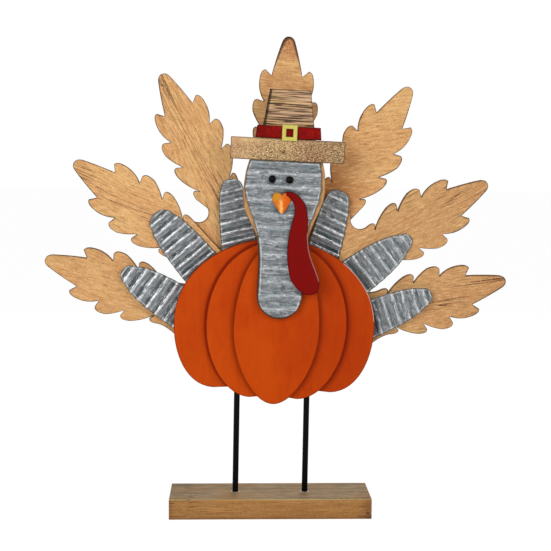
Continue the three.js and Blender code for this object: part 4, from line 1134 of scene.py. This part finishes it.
class TurkeyFace(bpy.types.Operator):
    """Make the eyes, the folded beak and the wattle"""
    bl_idname = "turkey.face"
    bl_label = "Face"

    def execute(self, context):
        # Tack: a shank under a quarter ellipse, turned about its axis
        enamel = black_enamel("eye_black", 0.22)
        radius = sizes().eye_radius / MM
        turn = np.linspace(0, np.pi / 2, 12)
        dome = np.stack([radius * np.cos(turn), TACK_RIM + TACK_DOME * np.sin(turn)], -1)
        tack = lathed(np.vstack([TACK_SHANK, (radius * 0.97, 0), dome]), 48)
        for place, side in EYES.items():
            mesh = mesh_of(f"tack_{place}", tack + (side, EYE_HEIGHT, TRIM_REAR), on_figure)
            show(mesh, enamel, f"eye_{place}")

        # Beak: a flat heart whose sides drop from its middle line by the fold's slope, times
        # sqrt(x^2 + 1/4) - 1/2, which rounds the fold
        flap = spline(BEAK_SIDE * (BEAK_FLAP * math.cos(BEAK_FOLD), BEAK_LENGTH), 14)
        right = np.vstack([flap[:-1], curve(6, flap[-1], (0, -BEAK_LENGTH)), [[0, -BEAK_LENGTH]]])
        spine = paired(np.stack([right[:, 0] * 0, np.clip(right[:, 1] - 1.5, 1.2 - BEAK_LENGTH, -1.2)], -1))
        top = TRIM_REAR - BEAK_SINK + BEAK_FLAP * math.sin(BEAK_FOLD) + BEAK_THICKNESS * 0.77

        def lift(points):
            x = points[..., :1]
            return (np.sqrt(x**2 + 0.25) - 0.5) * (0, 0, -math.tan(BEAK_FOLD))

        layer, place = (top - BEAK_THICKNESS, top), placed(BEAK_TURN, (BEAK_MIDDLE, BEAK_HEIGHT))
        mesh = board_mesh("beak_sheet", mirrored(right), spine, layer, THIN_EDGE, place, lift=lift)
        show(mesh, beak_paint(colours().beak), "beak")

        # Wattle: both sides are read at the same heights, closer together at its round ends
        loop = spline(WATTLE_LOOP * WATTLE_SIZE, 16, closed=True)
        lowest = WATTLE_LOWEST * 16
        sides = loop[: lowest + 1], np.vstack([loop[lowest:], loop[:1]])[::-1]
        tall = min(side[:, 1].max() for side in sides)
        height = tall * (1 + np.cos(np.linspace(0, np.pi, 150))) / 2
        widths = (np.interp(-height, np.maximum.accumulate(-side[:, 1]), side[:, 0]) for side in sides)
        right, left = (np.stack([width, height], -1) for width in widths)
        middle = (right + left) / 2
        right[[0, -1]] = left[[0, -1]] = middle[[0, -1]]
        middle[:, 1] = np.clip(middle[:, 1], 2.5, tall - 2)
        move = (WATTLE_LEFT, WATTLE_BOTTOM)
        layer = (TRIM_REAR, TRIM_REAR + WATTLE_THICKNESS)
        # A pale stretch on the wattle's right edge
        low, high, paleness = WATTLE_PALE
        pale_edge = (right[:, 1] > low * tall) & (right[:, 1] < high * tall)
        side = np.concatenate([pale_edge * paleness, right[1:-1, 0] * 0])
        ring, spine = mirrored(right, left) + move, paired(middle) + move
        mesh = board_mesh("wattle_board", ring, spine, layer, WATTLE_EDGE, on_figure, side=side)
        paint = board_paint("wattle_paint", colours().wattle, tone(112, 8, 10), 0.36, pale_side=True)
        show(mesh, paint, "wattle")
        return {"FINISHED"}


class TurkeyHat(bpy.types.Operator):
    """Make the hat's crown, brim, band and buckle"""
    bl_idname = "turkey.hat"
    bl_label = "Hat"

    def execute(self, context):
        grooved = hat_wood("crown_wood", colours().hat, True)
        speckled = hat_wood("brim_wood", colours().hat, False)
        band = board_paint("band_paint", colours().band, tone(104, 8, 6), 0.55, 0.6)
        boards = {
            "crown": (CROWN, NECK_LAYER, grooved, "hat_wood", 3),
            "brim": (BRIM, BRIM_LAYER, speckled, "hat_wood", 8),
            "band": (BAND, BRIM_LAYER, band, "band_paint", 1),
        }
        for place, (numbers, layer, finish, slot, seed) in boards.items():
            ring = trapezium(*numbers) + (HAT_MIDDLE, 0)
            spine = ring * 0 + (HAT_MIDDLE, (numbers[2] + numbers[3]) / 2)
            mesh = board_mesh(f"hat_{place}_board", ring, spine, layer, TRIM_EDGE, on_figure, 90, seed)
            show(mesh, finish, f"hat_{place}")

        # Buckle: one profile carried round both rings, from the window's wall over the face to the outside
        outer, inner = trapezium(*BUCKLE, 12), trapezium(*BUCKLE_WINDOW, 12)
        rear, front = BUCKLE_LAYER
        rows = [raised(inner, rear)[None]]
        for base, way, arc in ((inner, -1, ARC[::-1]), (outer, 1, ARC)):
            over = base + ring_normals(base) * way * (TRIM_EDGE * (np.sin(arc) - 1))[:, None, None]
            rows.append(raised(over, (front - TRIM_EDGE * (1 - np.cos(arc)))[:, None]))
        points = np.concatenate([*rows, raised(outer, rear)[None]]) + (BUCKLE_MIDDLE, 0, 0)
        rims = np.array([-2, -0.6, -0.3, -0.1, 0.4, 0.4, -0.1, -0.3, -0.6, -2])[:, None]
        blade = raised(points[..., :2], rims)
        mesh = mesh_of("hat_buckle_frame", points, on_figure, looped=True, blade=blade)
        paint = board_paint("buckle_paint", colours().buckle, tone(240, 222, 100), 0.45)
        show(mesh, paint, "hat_buckle")
        return {"FINISHED"}


class TurkeyFasteners(bpy.types.Operator):
    """Make the screws and nails"""
    bl_idname = "turkey.fasteners"
    bl_label = "Screws and nails"

    def execute(self, context):
        steel = fastener_steel("fastener_steel", tone(178, 178, 174), tone(118, 112, 104))
        dull = fastener_steel("facing_nail_steel", tone(104, 104, 104), tone(64, 62, 60))
        rusty = fastener_steel("brim_nail_steel", tone(122, 84, 48), tone(70, 46, 26))
        held = {}
        back, front = BACK_PANEL[0], NECK_LAYER[1]
        for place, (turn, waist, side, layer, foot, *_) in LEAVES.items():
            if layer is not MID_LEAF:
                out = waist * WAIST_RADIUS - foot[4] + 6
                spot = turned(np.array([side * BLADE[1], out]), turn) - (0, foot[5])
                held[f"leaf_screw_{place}"] = (spot, layer[0], -1, SCREW, back - layer[0] + SCREW[4], True)
        for place, (bearing, turn, _, reach, length, *_) in FEATHERS.items():
            spot = turned(np.array([0.0, reach]), bearing) + turned(np.array([0.0, -0.95 * length]), turn)
            seat = FEATHER_SEATS[place.split("_")[0]]
            held[f"feather_nail_{place}"] = (spot, seat, -1, NAIL, back - seat + NAIL[4], False)
        middle, half, bottom = (PUMPKIN_PANELS["front"][n] for n in (0, 1, 4))
        for place, (out, down) in PANEL_SCREWS.items():
            spot = (middle + out * half, down * bottom)
            held[f"panel_screw_{place}"] = (spot, back, -1, SCREW, FRONT_PANEL[0] - back + SCREW[4], True)
        fronts = {"facing_nail": (FACING_NAIL, TRIM_REAR), "brim_nail": (BRIM_NAIL, BRIM_LAYER[1])}
        for name, (spot, seat) in fronts.items():
            held[name] = (spot, seat, 1, NAIL, seat - front + NAIL[4], False)
        for name, numbers in held.items():
            mesh = mesh_of(name + "_pin", pin_points(*numbers), on_figure)
            finish = {"facing_nail": dull, "brim_nail": rusty}.get(name, steel)
            show(mesh, finish, name)
        return {"FINISHED"}


STEPS = (
    TurkeyStageOperator, TurkeyBlock, TurkeyRods, TurkeyPumpkin, TurkeyLeaves, TurkeyFeathers, TurkeyNeck,
    TurkeyFace, TurkeyHat, TurkeyFasteners,
)


GROUPS = {"turkey_sizes": TurkeySizes, "turkey_colours": TurkeyColours, "turkey_stage": TurkeyStage}


class TurkeyPanel(bpy.types.Panel):
    """Lists the settings and the steps"""
    bl_idname = "VIEW3D_PT_turkey"
    bl_label = "Turkey figure"
    bl_space_type = "VIEW_3D"
    bl_region_type = "UI"
    bl_category = "Turkey"

    def draw(self, context):
        for name, kind in GROUPS.items():
            box = self.layout.box()
            for key in kind.__annotations__:
                box.prop(getattr(context.scene, name), key)
        for step in STEPS:
            self.layout.operator(step.bl_idname)


CLASSES = (*GROUPS.values(), *STEPS, TurkeyPanel)


def register():
    for kind in CLASSES:
        bpy.utils.register_class(kind)
    for name, kind in GROUPS.items():
        setattr(bpy.types.Scene, name, bpy.props.PointerProperty(type=kind))


def unregister():
    for name in GROUPS:
        delattr(bpy.types.Scene, name)
    for kind in reversed(CLASSES):
        bpy.utils.unregister_class(kind)


def main():
    register()
    bpy.ops.turkey.stage()
    bpy.ops.turkey.block()
    bpy.ops.turkey.rods()
    bpy.ops.turkey.pumpkin()
    bpy.ops.turkey.leaves()
    bpy.ops.turkey.feathers()
    bpy.ops.turkey.neck()
    bpy.ops.turkey.face()
    bpy.ops.turkey.hat()
    bpy.ops.turkey.fasteners()


if __name__ == "__main__":
    main()
